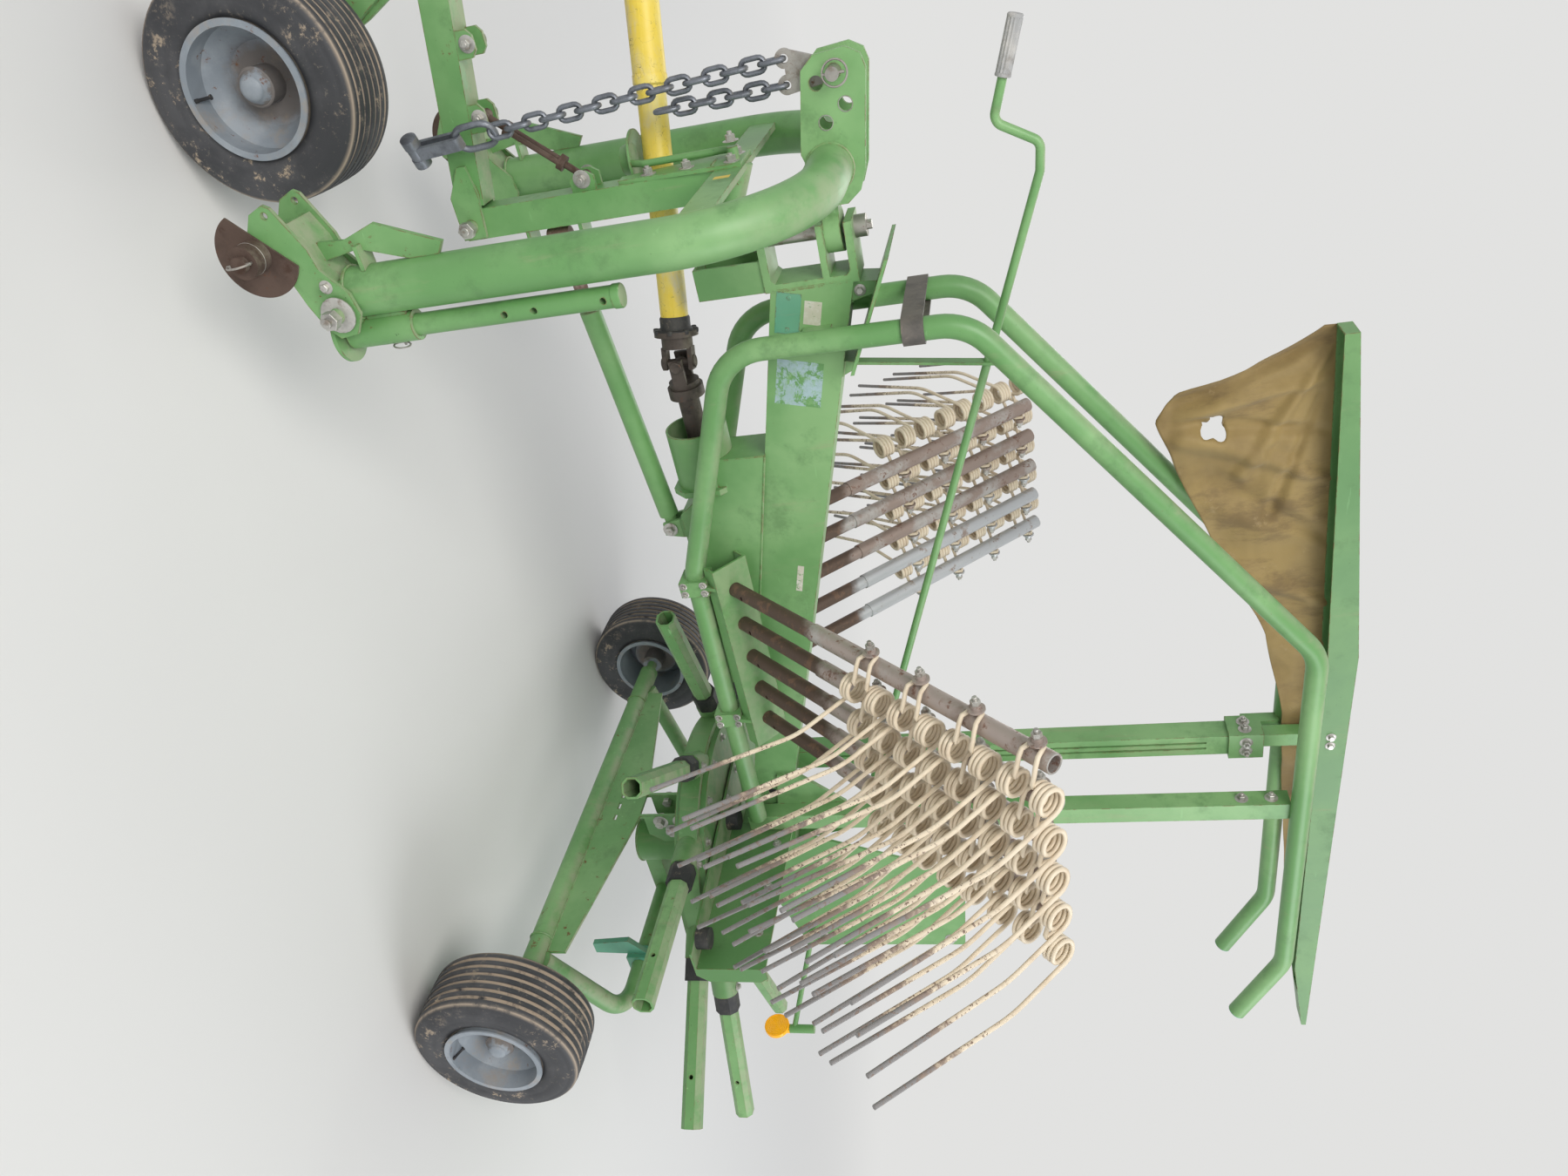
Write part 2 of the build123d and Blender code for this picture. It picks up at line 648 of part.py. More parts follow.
# Rest for the folded curtain boom: base sheet, wall with a bent end and two rubber buffers
tray_rear_x = HEAD_FLANGE_FRONT_X
tray = plate_xy(
    (
        (tray_rear_x, TRAY_RIGHT_Y), (TRAY_FRONT_RIGHT[0], TRAY_RIGHT_Y), TRAY_FRONT_RIGHT, TRAY_FRONT_LEFT,
        (tray_rear_x, TRAY_FRONT_LEFT[1]),
    ),
    head_low,
    head_low + TRAY_SHEET,
)
wall_y = (TRAY_WALL_RIGHT_Y, TRAY_FRONT_LEFT[1])
wall_base = head_low + TRAY_SHEET
tray += block((tray_rear_x, tray_rear_x + TRAY_SHEET), wall_y, (wall_base - 1, TRAY_WALL_TOP_Z))
tray += plate_xz(
    (
        (tray_rear_x, head_low), (tray_rear_x, TRAY_WALL_TOP_Z),
        (tray_rear_x - TRAY_RETURN + 14, TRAY_WALL_TOP_Z),
        (tray_rear_x - TRAY_RETURN, TRAY_WALL_TOP_Z - 20),
        (tray_rear_x - TRAY_RETURN, head_low + 30), (tray_rear_x - 20, head_low),
    ),
    wall_y[1] - TRAY_SHEET,
    wall_y[1],
)
add("tray", tray)
for y in BUFFER_PLACES_Y:
    add("buffers", post((BUFFER_X, y), wall_base, wall_base + BUFFER_H, BUFFER_R))

# Swivel fork: a bent strip on the beam's end, a shelf under the eye and the box for the swing stop
fork_front = SWIVEL_X + 24
fork = plate_xz(
    (
        (BEAM_FRONT_X, FORK_BOTTOM_Z), (BEAM_FRONT_X, FORK_TOP_Z), (fork_front, FORK_TOP_Z),
        (fork_front, FORK_TOP_Z - FORK_PLATE_T),
        (BEAM_FRONT_X + FORK_PLATE_T + 8, FORK_TOP_Z - FORK_PLATE_T),
        (BEAM_FRONT_X + FORK_PLATE_T, FORK_TOP_Z - FORK_PLATE_T - 8),
        (BEAM_FRONT_X + FORK_PLATE_T, FORK_BOTTOM_Z + FORK_PLATE_T + 8),
        (BEAM_FRONT_X + FORK_PLATE_T + 8, FORK_BOTTOM_Z + FORK_PLATE_T),
        (fork_front, FORK_BOTTOM_Z + FORK_PLATE_T),
        (fork_front, FORK_BOTTOM_Z),
    ),
    -FORK_HALF_W,
    FORK_HALF_W,
)
shelf_top = SWIVEL_EYE_LOW_Z - RUNNING_GAP
fork += block(
    (BEAM_FRONT_X + FORK_PLATE_T, fork_front), (-FORK_HALF_W, FORK_HALF_W),
    (shelf_top - FORK_SHELF_T, shelf_top)
)
stop_box = block(
    (BEAM_FRONT_X, STOP_BOX_FRONT_X), (-STOP_BOX_HALF_W, STOP_BOX_HALF_W),
    (STOP_BOX_LOW_Z, FORK_BOTTOM_Z)
)
stop_box -= block(
    (BEAM_FRONT_X + STOP_BOX_WALL, STOP_BOX_FRONT_X + 1),
    (-STOP_BOX_HALF_W + STOP_BOX_WALL, STOP_BOX_HALF_W - STOP_BOX_WALL),
    (STOP_BOX_LOW_Z + STOP_BOX_WALL, FORK_BOTTOM_Z - STOP_BOX_WALL),
)
fork += stop_box
fork -= post((SWIVEL_X, 0), FORK_BOTTOM_Z - 1, FORK_TOP_Z + 1, SWIVEL_PIN_R + SEAT_GAP)
add("fork", fork)
pin = post((SWIVEL_X, 0), FORK_BOTTOM_Z - 14, FORK_TOP_Z + SWIVEL_HEAD_H, SWIVEL_PIN_R)
pin += post((SWIVEL_X, 0), FORK_TOP_Z, FORK_TOP_Z + SWIVEL_HEAD_H, SWIVEL_HEAD_R)
add("swivel_pin", pin)

# Headstock: two bent legs, the top link plates between them and the swivel eye
link_outline = (
    (1913, 1275), (1898, 1301), (1874, 1308), (1699, 1282), (1662, 1268), (1640, 1240), (1640, 1200),
    (1742, 1164),
    (1885, 1189), (1908, 1214),
)
arch = None
for side in (-1, 1):
    inner = side * LINK_PLATE_GAP / 2
    outer = inner + side * LINK_PLATE_T
    tube = bent_tube(
        (
            (ARCH_X, outer - side, ARCH_TOP_Z),
            (ARCH_X, side * ARCH_HALF_W, ARCH_TOP_Z),
            (ARCH_X, side * ARCH_HALF_W, ARCH_BOTTOM_Z),
        ),
        ARCH_BEND,
        ARCH_R,
    )
    low, high = sorted((inner, outer))
    sheet = plate_xz(link_outline, low, high)
    for x, z, radius in ((1818, 1262, LINK_HOLE_R), (1791, 1221, LINK_HOLE_R), (1861, 1214, LINK_HOLE_R)):
        sheet -= rod((x, low - 1, z), (x, high + 1, z), radius)
    sheet -= rod(
        (LINK_PIN_X, low - 1, LINK_PIN_Z), (LINK_PIN_X, high + 1, LINK_PIN_Z), LINK_PIN_R + SEAT_GAP
    )
    arch = tube + sheet if arch is None else arch + tube + sheet
neck_y = (-LINK_PLATE_GAP / 2, LINK_PLATE_GAP / 2)
arch += block((ARCH_X - 40, ARCH_X + 40), neck_y, (NECK_LOW_Z + 20, SWIVEL_EYE_HIGH_Z + 26))
arch += block((SWIVEL_X, ARCH_X - 39), (-NECK_HALF_W, NECK_HALF_W), (SWIVEL_EYE_LOW_Z, SWIVEL_EYE_HIGH_Z))
arch += post((SWIVEL_X, 0), SWIVEL_EYE_LOW_Z, SWIVEL_EYE_HIGH_Z, SWIVEL_EYE_R)
arch -= post((SWIVEL_X, 0), SWIVEL_EYE_LOW_Z - 1, SWIVEL_EYE_HIGH_Z + 1, SWIVEL_PIN_R + RUNNING_GAP)
add("headstock", arch)

# Stay bar across the legs, with the tube that meets the swing stop
post_front = ARCH_X + POST_SIZE / 2
post_top = CROSS_Z - CROSS_H / 2
cross = block(
    (post_front - CROSS_T, post_front), (-ARCH_HALF_W, ARCH_HALF_W), (post_top, CROSS_Z + CROSS_H / 2)
)
for side in (-1, 1):
    leg_line = (
        (ARCH_X, side * (ARCH_BEND / 10), ARCH_TOP_Z), (ARCH_X, side * ARCH_HALF_W, ARCH_TOP_Z),
        (ARCH_X, side * ARCH_HALF_W, ARCH_BOTTOM_Z),
    )
    cross -= bent_tube(leg_line, ARCH_BEND, ARCH_R + SEAT_GAP)
stop_tube = rod((post_front, -10, CROSS_Z + 16), (STOP_TUBE_END_X, 6, CROSS_Z - 46), STOP_TUBE_R)
stop_tube -= block((post_front, post_front + 60), (-60, 60), (CROSS_Z - 60, CROSS_Z + 80))
stop_tube -= block(
    (ARCH_X - POST_SIZE / 2 - SEAT_GAP, post_front), (-60, 60), (post_top - 40, post_top + SEAT_GAP)
)
add("cross_member", cross + stop_tube)

# Middle post under the stay bar with its bolted strap plate and the two ears for the turnbuckle and strut
centre_post = block(
    (ARCH_X - POST_SIZE / 2, post_front), (-POST_SIZE / 2, POST_SIZE / 2), (POST_BOTTOM_Z, post_top)
)
strap_x = post_front
strap_top = CROSS_Z + CROSS_H / 2 - 4
centre_post += plate_yz(
    ((-66, strap_top), (40, strap_top), (40, post_top - 20), (24, 790), (-8, 790), (-66, post_top)),
    strap_x,
    strap_x + POST_STRAP_T,
)
ear_x = post_front
ear_outline = (
    (ear_x - 1, 690), (ear_x - 1, 742), (ear_x + 26, 742), (ear_x + 36, 726), (ear_x + 36, 706),
    (ear_x + 22, 690)
)
for low in (-22, 14):
    centre_post += plate_xz(ear_outline, low, low + BRACKET_PLATE_T)
strut_z = STRUT_FRONT[2]
yoke_x = ARCH_X - POST_SIZE / 2
for low, high in ((strut_z - 62, strut_z - 54), (strut_z + 54, strut_z + 62)):
    centre_post += block((STRUT_FRONT[0] - 26, yoke_x + 1), (-26, 26), (low, high))
add("centre_post", centre_post)


# Lower link brackets: two cheeks round the leg's foot, a gusset up the leg and the stand's sleeve
def lower_bracket(side):
    y = side * ARCH_HALF_W
    cheek_outline = (
        (1646, 354), (1650, 390), (1684, 410), (1722, 404), (1769, 366), (1807, 359), (1883, 322),
        (1890, 310),
        (1878, 280), (LOWER_PIN_X + 20, LOWER_PIN_Z - 12), (LOWER_PIN_X, LOWER_PIN_Z - 24),
        (LOWER_PIN_X - 24, LOWER_PIN_Z - 8), (1772, 300), (1713, 316), (1668, 334),
    )
    body = None
    for inner in (-BRACKET_GAP - BRACKET_PLATE_T, BRACKET_GAP):
        cheek = plate_xz(cheek_outline, y + inner, y + inner + BRACKET_PLATE_T)
        cheek -= rod((1872, y + inner - 1, 308), (1872, y + inner + BRACKET_PLATE_T + 1, 308), 6)
        body = cheek if body is None else body + cheek
    web = (
        (1734, 376), (1769, 356), (1807, 349), (1850, 328), (1850, 318), (1807, 339), (1769, 346),
        (1734, 366)
    )
    body += plate_xz(web, y - BRACKET_GAP, y + BRACKET_GAP)
    shoe = block((ARCH_X - 50, ARCH_X + 30), (y - BRACKET_GAP, y + BRACKET_GAP), (350, ARCH_BOTTOM_Z))
    fin = plate_xz(
        (
            (1748, 566), (1775, 584), (1823, 466), (1802, 400), (1806, 342), (1772, 350), (1784, 424),
            (1744, 545)
        ),
        y - FIN_T / 2,
        y + FIN_T / 2,
    )
    fin += block((ARCH_X, 1792), (y - 22, y + 22), (424, 432))
    fin -= post((ARCH_X, y), ARCH_BOTTOM_Z - SEAT_GAP, 700, ARCH_R + SEAT_GAP)
    bracket = body + shoe + fin
    sleeve_high = STAND_SLEEVE_LOW_Z + STAND_SLEEVE_H
    bridge = block((STAND_X, ARCH_X), (y - 12, y + 12), (ARCH_BOTTOM_Z + 6, sleeve_high - 10))
    bridge += block((STAND_X, ARCH_X - 40), (y - 12, y + 12), (356, ARCH_BOTTOM_Z))
    bridge -= post((ARCH_X, y), ARCH_BOTTOM_Z, 600, ARCH_R + SEAT_GAP)
    sleeve = post((STAND_X, y), STAND_SLEEVE_LOW_Z, sleeve_high, STAND_SLEEVE_R)
    bracket = bracket + bridge + sleeve
    bracket -= post((STAND_X, y), STAND_SLEEVE_LOW_Z - 1, sleeve_high + 1, STAND_R + RUNNING_GAP)
    outer = y + side * (BRACKET_GAP + BRACKET_PLATE_T)
    bolt_x = ARCH_X - 20
    bracket += rod((bolt_x, outer - side, 371), (bolt_x, outer + side * 5, 371), ARCH_WASHER_R)
    bracket += rod((bolt_x, outer, 371), (bolt_x, outer + side * 24, 371), ARCH_BOTTOM_BOLT_R)
    pin_start = y - side * (BRACKET_GAP + BRACKET_PLATE_T + 1)
    bracket -= rod(
        (LOWER_PIN_X, pin_start, LOWER_PIN_Z), (LOWER_PIN_X, outer + side, LOWER_PIN_Z),
        LOWER_PIN_R + SEAT_GAP
    )
    return bracket


for name, side in (("left", 1), ("right", -1)):
    y = side * ARCH_HALF_W
    add("hitch_brackets", lower_bracket(side))
    inner = y - side * (BRACKET_GAP + BRACKET_PLATE_T + 12)
    outer = y + side * (BRACKET_GAP + BRACKET_PLATE_T)
    disc_start, ball_start = outer + side * SEAT_GAP, outer + side * (SEAT_GAP + GUIDE_DISC_T)
    ball_end = ball_start + side * LOWER_BALL_LENGTH
    lower_pin = rod(
        (LOWER_PIN_X, inner, LOWER_PIN_Z), (LOWER_PIN_X, ball_end + side * 12, LOWER_PIN_Z), LOWER_PIN_R
    )
    lower_pin += rod(
        (LOWER_PIN_X, disc_start, LOWER_PIN_Z), (LOWER_PIN_X, ball_end, LOWER_PIN_Z), LOWER_BALL_R
    )
    disc = rod((LOWER_PIN_X, disc_start, LOWER_PIN_Z), (LOWER_PIN_X, ball_start, LOWER_PIN_Z), GUIDE_DISC_R)
    disc_y = sorted((disc_start - side, ball_start + side))
    reach = GUIDE_DISC_R + 20
    half_plane = ((LOWER_PIN_X - 55, LOWER_PIN_Z + reach), (LOWER_PIN_X + reach, LOWER_PIN_Z + reach))
    disc -= plate_xz((*half_plane, (LOWER_PIN_X + reach, LOWER_PIN_Z - 55)), *disc_y)
    add("link_pin_" + name, lower_pin + disc)
    stand = post((STAND_X, y), STAND_FOOT_Z, STAND_TOP_Z, STAND_R)
    stand += post((STAND_X, y), STAND_FOOT_Z, STAND_FOOT_Z + STAND_FOOT_H, STAND_FOOT_R)
    for z in STAND_HOLES_Z:
        stand -= rod((STAND_X, y - STAND_R - 1, z), (STAND_X, y + STAND_R + 1, z), STAND_HOLE_R)
    add("stand_" + name, stand)
pin_half = LINK_PLATE_GAP / 2 + LINK_PLATE_T + SEAT_GAP
upper_pin = rod(
    (LINK_PIN_X, -pin_half - 26, LINK_PIN_Z), (LINK_PIN_X, pin_half + 34, LINK_PIN_Z), LINK_PIN_R
)
upper_pin += rod(
    (LINK_PIN_X, -pin_half - 12, LINK_PIN_Z), (LINK_PIN_X, -pin_half, LINK_PIN_Z), LINK_PIN_HEAD_R
)
eye_y = CHAIN_EYE_FRONT[1]
plate_y = (eye_y - CHAIN_PLATE_T / 2, eye_y + CHAIN_PLATE_T / 2)
rim_r = CHAIN_EYE_R + CHAIN_PLATE_RIM
hanger = rod(
    (LINK_PIN_X, plate_y[0], LINK_PIN_Z), (LINK_PIN_X, plate_y[1], LINK_PIN_Z),
    LINK_PIN_R + CHAIN_PLATE_RIM
)
hanger += plate_xz(
    (
        (LINK_PIN_X - LINK_PIN_R - 4, LINK_PIN_Z), (LINK_PIN_X + LINK_PIN_R + 4, LINK_PIN_Z),
        (CHAIN_EYE_FRONT[0] + rim_r, CHAIN_EYE_FRONT[2]), (CHAIN_EYE_BACK[0] - rim_r, CHAIN_EYE_BACK[2]),
    ),
    *plate_y
)
for eye in (CHAIN_EYE_FRONT, CHAIN_EYE_BACK):
    hanger += rod((eye[0], plate_y[0], eye[2]), (eye[0], plate_y[1], eye[2]), rim_r)
for eye in (CHAIN_EYE_FRONT, CHAIN_EYE_BACK):
    hanger -= rod((eye[0], plate_y[0] - 1, eye[2]), (eye[0], plate_y[1] + 1, eye[2]), CHAIN_EYE_R)
add("link_pin_upper", upper_pin + hanger)

# Hook that holds the drive shaft when it is uncoupled: a bent rod with a saucer under the shaft
hook_x = strap_x + POST_STRAP_T + 14
saucer_centre = (hook_x, PTO_FRONT_Y * (hook_x - PTO_PIVOT_X) / (PTO_FRONT_X - PTO_PIVOT_X))
saucer_z = PTO_Z - SAUCER_DROP
hook = bent_tube(
    (
        (hook_x, 14, HOOK_BOLT_Z), (hook_x, HOOK_ROD_Y, HOOK_BOLT_Z - 4),
        (hook_x, HOOK_ROD_Y + 2, saucer_z + 40),
        (hook_x, saucer_centre[1] + SAUCER_R - 20, saucer_z + 2),
    ),
    HOOK_BEND,
    HOOK_ROD_R,
)
hook += rod((strap_x + POST_STRAP_T, 8, HOOK_BOLT_Z), (hook_x + HOOK_ROD_R + 4, 8, HOOK_BOLT_Z), 11)
saucer_outline = (
    (0, 0), (SAUCER_R - 26, 0), (SAUCER_R, 10), (SAUCER_R, 5), (SAUCER_R - 24, -5),
    (SAUCER_R - 30, -22), (0, -22)
)
saucer_face = make_face(Polyline(*[(r, 0, z) for r, z in saucer_outline], close=True))
hook += Pos(*saucer_centre, saucer_z) * revolve(saucer_face, axis=Axis.Z, revolution_arc=360)
add("pto_hook", hook)

# Front wheel arm: square tube between two cheeks on the post, with the castor's sleeve
arm_slope = (ARM_FRONT_Z - ARM_BOLT_Z) / (ARM_FRONT_X - ARM_BOLT_X)


def arm_z(x):
    return ARM_BOLT_Z + (x - ARM_BOLT_X) * arm_slope


arm_start_x = post_front + SEAT_GAP + ARM_SECTION * arm_slope
cheek_gap = POST_SIZE + 2 * SEAT_GAP + 1
arm = bar((arm_start_x, 0, arm_z(arm_start_x)), (ARM_FRONT_X, 0, ARM_FRONT_Z), cheek_gap, ARM_SECTION)
cheek = ((-26, -26), (-26, 24), (60, 34), (116, 26), (116, 8), (60, -26))
for low in (-POST_SIZE / 2 - SEAT_GAP - ARM_CHEEK_T, POST_SIZE / 2 + SEAT_GAP):
    arm += plate_xz([(ARM_BOLT_X + x, ARM_BOLT_Z + z) for x, z in cheek], low, low + ARM_CHEEK_T)
cheek_out = POST_SIZE / 2 + SEAT_GAP + ARM_CHEEK_T
arm += rod((ARM_BOLT_X, cheek_out, ARM_BOLT_Z), (ARM_BOLT_X, cheek_out + 16, ARM_BOLT_Z), ARM_BOLT_R)
for share, length in ARM_LUGS:
    x = ARM_BOLT_X + share * (ARM_FRONT_X - ARM_BOLT_X)
    z = arm_z(x) + ARM_SECTION / 2
    outline = (
        (x, z - 6), (x, z + 30), (x + 12, z + 40), (x + length - 12, z + 40), (x + length, z + 30),
        (x + length, z - 6)
    )
    for low in (-30, 22):
        arm += plate_xz(outline, low, low + BRACKET_PLATE_T)
arm += post(
    (ARM_FRONT_X, 0), ARM_FRONT_Z - CASTOR_SLEEVE_HALF, ARM_FRONT_Z + CASTOR_SLEEVE_HALF,
    CASTOR_SLEEVE_R
)
arm -= post((ARM_FRONT_X, 0), ARM_FRONT_Z - 90, ARM_FRONT_Z + 90, CASTOR_SPINDLE_R + RUNNING_GAP)
add("wheel_arm", arm)
castor_low = ARM_FRONT_Z - CASTOR_SLEEVE_HALF - RUNNING_GAP
castor = post((ARM_FRONT_X, 0), castor_low - 30, ARM_FRONT_Z + CASTOR_SLEEVE_HALF + 24, CASTOR_SPINDLE_R)
castor += post((ARM_FRONT_X, 0), castor_low - 30, castor_low, CASTOR_SLEEVE_R)
castor += post(
    (ARM_FRONT_X, 0), ARM_FRONT_Z + CASTOR_SLEEVE_HALF + RUNNING_GAP,
    ARM_FRONT_Z + CASTOR_SLEEVE_HALF + 14, CASTOR_SLEEVE_R
)
castor += bar((ARM_FRONT_X, 0, castor_low - 24), (FRONT_WHEEL_X, 0, AXLE_Z), CASTOR_LEG, CASTOR_LEG)
castor += plate_xz(
    (
        (ARM_FRONT_X - 30, castor_low - 4), (ARM_FRONT_X - 84, 380), (FRONT_WHEEL_X + 30, 300),
        (ARM_FRONT_X - 40, 430)
    ), -6, 6
)
wheel_inner = FRONT_WHEEL_Y - HUB_LENGTH / 2 - RUNNING_GAP
castor += rod((FRONT_WHEEL_X, -CASTOR_LEG / 2, AXLE_Z), (FRONT_WHEEL_X, wheel_inner, AXLE_Z), HUB_R - 4)
castor += rod((FRONT_WHEEL_X, 0, AXLE_Z), (FRONT_WHEEL_X, FRONT_WHEEL_Y + spindle_reach, AXLE_Z), SPINDLE_R)
add("castor", castor)

# Turnbuckle between the post and the wheel arm
buckle_top = (ear_x + 22, 0, 716)
buckle_x = ARM_BOLT_X + ARM_LUG_HOLE_SHARE * (ARM_FRONT_X - ARM_BOLT_X)
buckle_low = (buckle_x, 0, arm_z(buckle_x) + ARM_SECTION / 2 + 22)
top_v, low_v = Vector(*buckle_top), Vector(*buckle_low)
step = low_v - top_v


def on_buckle(share, lift=0.0):
    point = top_v + step * share
    return (point.X, point.Y + lift, point.Z)


turnbuckle = rod(on_buckle(0.0), on_buckle(0.3), 7) + rod(on_buckle(0.7), on_buckle(1.0), 7)
for lift in (-11, 11):
    turnbuckle += rod(on_buckle(0.2, lift), on_buckle(0.8, lift), 5.5)
for share in (0.2, 0.74):
    turnbuckle += rod(on_buckle(share), on_buckle(share + 0.06), 16)
for end in (buckle_top, buckle_low):
    turnbuckle += rod((end[0], -13.7, end[2]), (end[0], 13.7, end[2]), 11)
add("turnbuckle", turnbuckle)

# Guard tubes with their saddles on the beam
guard_seats = {}
for name, side in (("left", 1), ("right", -1)):
    line = [(x, side * GUARD_Y, z) for x, z in GUARD_CORNERS_XZ]
    add("guard_tube_" + name, bent_tube(line, GUARD_BEND, GUARD_R))
    guard_seats[side] = bent_tube(line, GUARD_BEND, GUARD_R + SEAT_GAP)
front_x = GUARD_CORNERS_XZ[4][0]


def saddle_z(x):
    """Top of the slanted saddle plate."""
    return 1309 + (x - 1545) * 0.4425


saddle = plate_xz(
    (
        (1319, saddle_z(1319)), (1545, saddle_z(1545)), (1545, saddle_z(1545) - SADDLE_T),
        (1319, saddle_z(1319) - SADDLE_T)
    ),
    -GUARD_Y,
    GUARD_Y,
)
for x_low, x_high in ((1447, 1488), (1288, 1322)):
    top = saddle_z(x_low + 12) - 2
    support = plate_xz(
        (
            (x_low, beam_top(x_low)), (x_high, beam_top(x_high)),
            (x_high - 6, saddle_z(x_high - 6) - 2), (x_low + 12, top)
        ),
        -38,
        38,
    )
    saddle += support
for side in (-1, 1):
    lug_y = sorted((side * BEAM_HALF_W, side * GUARD_Y))
    saddle_lug = block((front_x - LUG_HALF, front_x + LUG_HALF), lug_y, (1110, 1170))
    tail_x = GUARD_CORNERS_XZ[6][0] + 26
    tail_lug = block(
        (tail_x - LUG_HALF, tail_x + LUG_HALF), lug_y, (guard_z(tail_x) - 9, guard_z(tail_x) + 9)
    )
    for lug in (saddle_lug, tail_lug):
        add("guard_lugs", lug - guard_seats[side])
saddle += bar((1305, 0, saddle_z(1305) - 20), (CRANK_STAY_X - 4, 0, 1492), 26, 6)
crank_line = [Vector(x, 0, z) for x, z in CRANK_CORNERS_XZ]
saddle -= rod(tuple(crank_line[3]), tuple(crank_line[4]), CRANK_ROD_R + SEAT_GAP)
for side in (-1, 1):
    saddle -= post((front_x, side * GUARD_Y), 1180, 1400, GUARD_R + SEAT_GAP)
add("guard_saddle", saddle)

# Rubber strap round both tubes above the saddle
strap_z = (1318, 1362)
strap_out = GUARD_R + SEAT_GAP
band = None
for grow in (6.0, 0.0):
    radius = strap_out + grow
    ring = block((front_x - radius, front_x + radius), (-GUARD_Y, GUARD_Y), strap_z)
    for side in (-1, 1):
        ring += post((front_x, side * GUARD_Y), *strap_z, radius)
    band = ring if band is None else band - ring
add("strap", band)

# Left post with its foot gusset and the mast with clamp and inner bar
post_y = (POST_LEFT_Y - POST_LEFT_SIZE / 2, POST_LEFT_Y + POST_LEFT_SIZE / 2)
post_x = (POST_LEFT_X - POST_LEFT_SIZE / 2, POST_LEFT_X + POST_LEFT_SIZE / 2)
post_left = block(post_x, post_y, (beam_bottom(POST_LEFT_X), POST_LEFT_TOP_Z))
post_left += plate_xz(
    ((5, 790), (5, 985), (55, 985), (160, beam_top(160) + 12), (160, beam_top(160) - 50), (55, 790)),
    BEAM_HALF_W,
    post_y[0],
)
for z in (POST_LEFT_TOP_Z - 42, POST_LEFT_TOP_Z - 112):
    post_left -= rod((post_x[1] - 12, POST_LEFT_Y, z), (post_x[1] + 1, POST_LEFT_Y, z), 8)
upper = GUARD_CORNERS_XZ[1], GUARD_CORNERS_XZ[2]
post_left -= rod(
    (upper[0][0], GUARD_Y, upper[0][1]), (upper[1][0], GUARD_Y, upper[1][1]), GUARD_R + SEAT_GAP
)
add("post_left", post_left)

mast_x = (MAST_X - MAST_SIZE / 2, MAST_X + MAST_SIZE / 2)
mast_y = (MAST_Y - MAST_SIZE / 2, MAST_Y + MAST_SIZE / 2)
mast = plate_xz(
    (
        (mast_x[0], beam_top(mast_x[0])), (mast_x[1], beam_top(mast_x[1])), (mast_x[1], MAST_TOP_Z),
        (mast_x[0], MAST_TOP_Z)
    ),
    *mast_y
)
groove = 9.0
for x in (MAST_X - 9, MAST_X + 9):
    mast -= block(
        (x - 3, x + 3), (mast_y[1] - groove, mast_y[1] + 1), (beam_top(MAST_X) + 80, MAST_TOP_Z - 120)
    )
add("mast", mast)
clamp_x = (mast_x[0] - MAST_CLAMP_T - SEAT_GAP, mast_x[1] + MAST_CLAMP_T + SEAT_GAP)
clamp_y = (mast_y[0] - MAST_CLAMP_T - SEAT_GAP, mast_y[1] + MAST_CLAMP_T + SEAT_GAP)
mast_clamp = block(clamp_x, clamp_y, (MAST_CLAMP_LOW_Z, MAST_CLAMP_HIGH_Z))
mast_clamp -= block(
    (mast_x[0] - SEAT_GAP, mast_x[1] + SEAT_GAP),
    (mast_y[0] - SEAT_GAP, mast_y[1] + SEAT_GAP),
    (MAST_CLAMP_LOW_Z - 1, MAST_TOP_Z + SEAT_GAP),
)
bar_x = (MAST_X - INNER_BAR_SIZE / 2, MAST_X + INNER_BAR_SIZE / 2)
bar_y = (MAST_Y - INNER_BAR_SIZE / 2, MAST_Y + INNER_BAR_SIZE / 2)


# Curtain rail: folded channel, open below, tapered to the rear
def rail_top(x):
    return 2267 + (x - 410) * (-70 / 820 if x > 410 else 20 / 1440)


rail_low_z = 2199.0
rail_outline = (
    (RAIL_FRONT_X, 2168), (RAIL_FRONT_X, rail_top(RAIL_FRONT_X)), (410, 2267), (RAIL_REAR_X, 2247),
    (RAIL_REAR_X, 2234),
    (-760, rail_low_z), (410, rail_low_z),
)
rail_y = (RAIL_Y - RAIL_W / 2, RAIL_Y + RAIL_W / 2)
rail = plate_xz(rail_outline, *rail_y)
inner_outline = (
    (RAIL_FRONT_X - RAIL_SHEET, 2160), (RAIL_FRONT_X - RAIL_SHEET, rail_top(RAIL_FRONT_X) - RAIL_SHEET),
    (410, 2267 - RAIL_SHEET), (RAIL_REAR_X + 160, 2249 - RAIL_SHEET), (RAIL_REAR_X + 160, 2190),
    (410, 2190),
)
rail -= plate_xz(inner_outline, rail_y[0] + RAIL_SHEET, rail_y[1] - RAIL_SHEET)
add("curtain_rail", rail)
mast_clamp += block(bar_x, bar_y, (MAST_CLAMP_HIGH_Z - 2, rail_top(MAST_X) - RAIL_SHEET - 1))
far_lug = block((MAST_X - 16, MAST_X + 16), (-GUARD_Y, clamp_y[0] + 1), (2030, 2068))
far_lug += block((MAST_X - 16, MAST_X + 16), (-GUARD_Y, clamp_y[0] + 1), (2060, 2120))
mast_clamp += far_lug
mast_clamp -= rod(
    (upper[0][0], -GUARD_Y, upper[0][1]), (upper[1][0], -GUARD_Y, upper[1][1]), GUARD_R + SEAT_GAP
)
add("mast_clamp", mast_clamp)
curtain_y = (rail_y[0] - CURTAIN_T, rail_y[0])
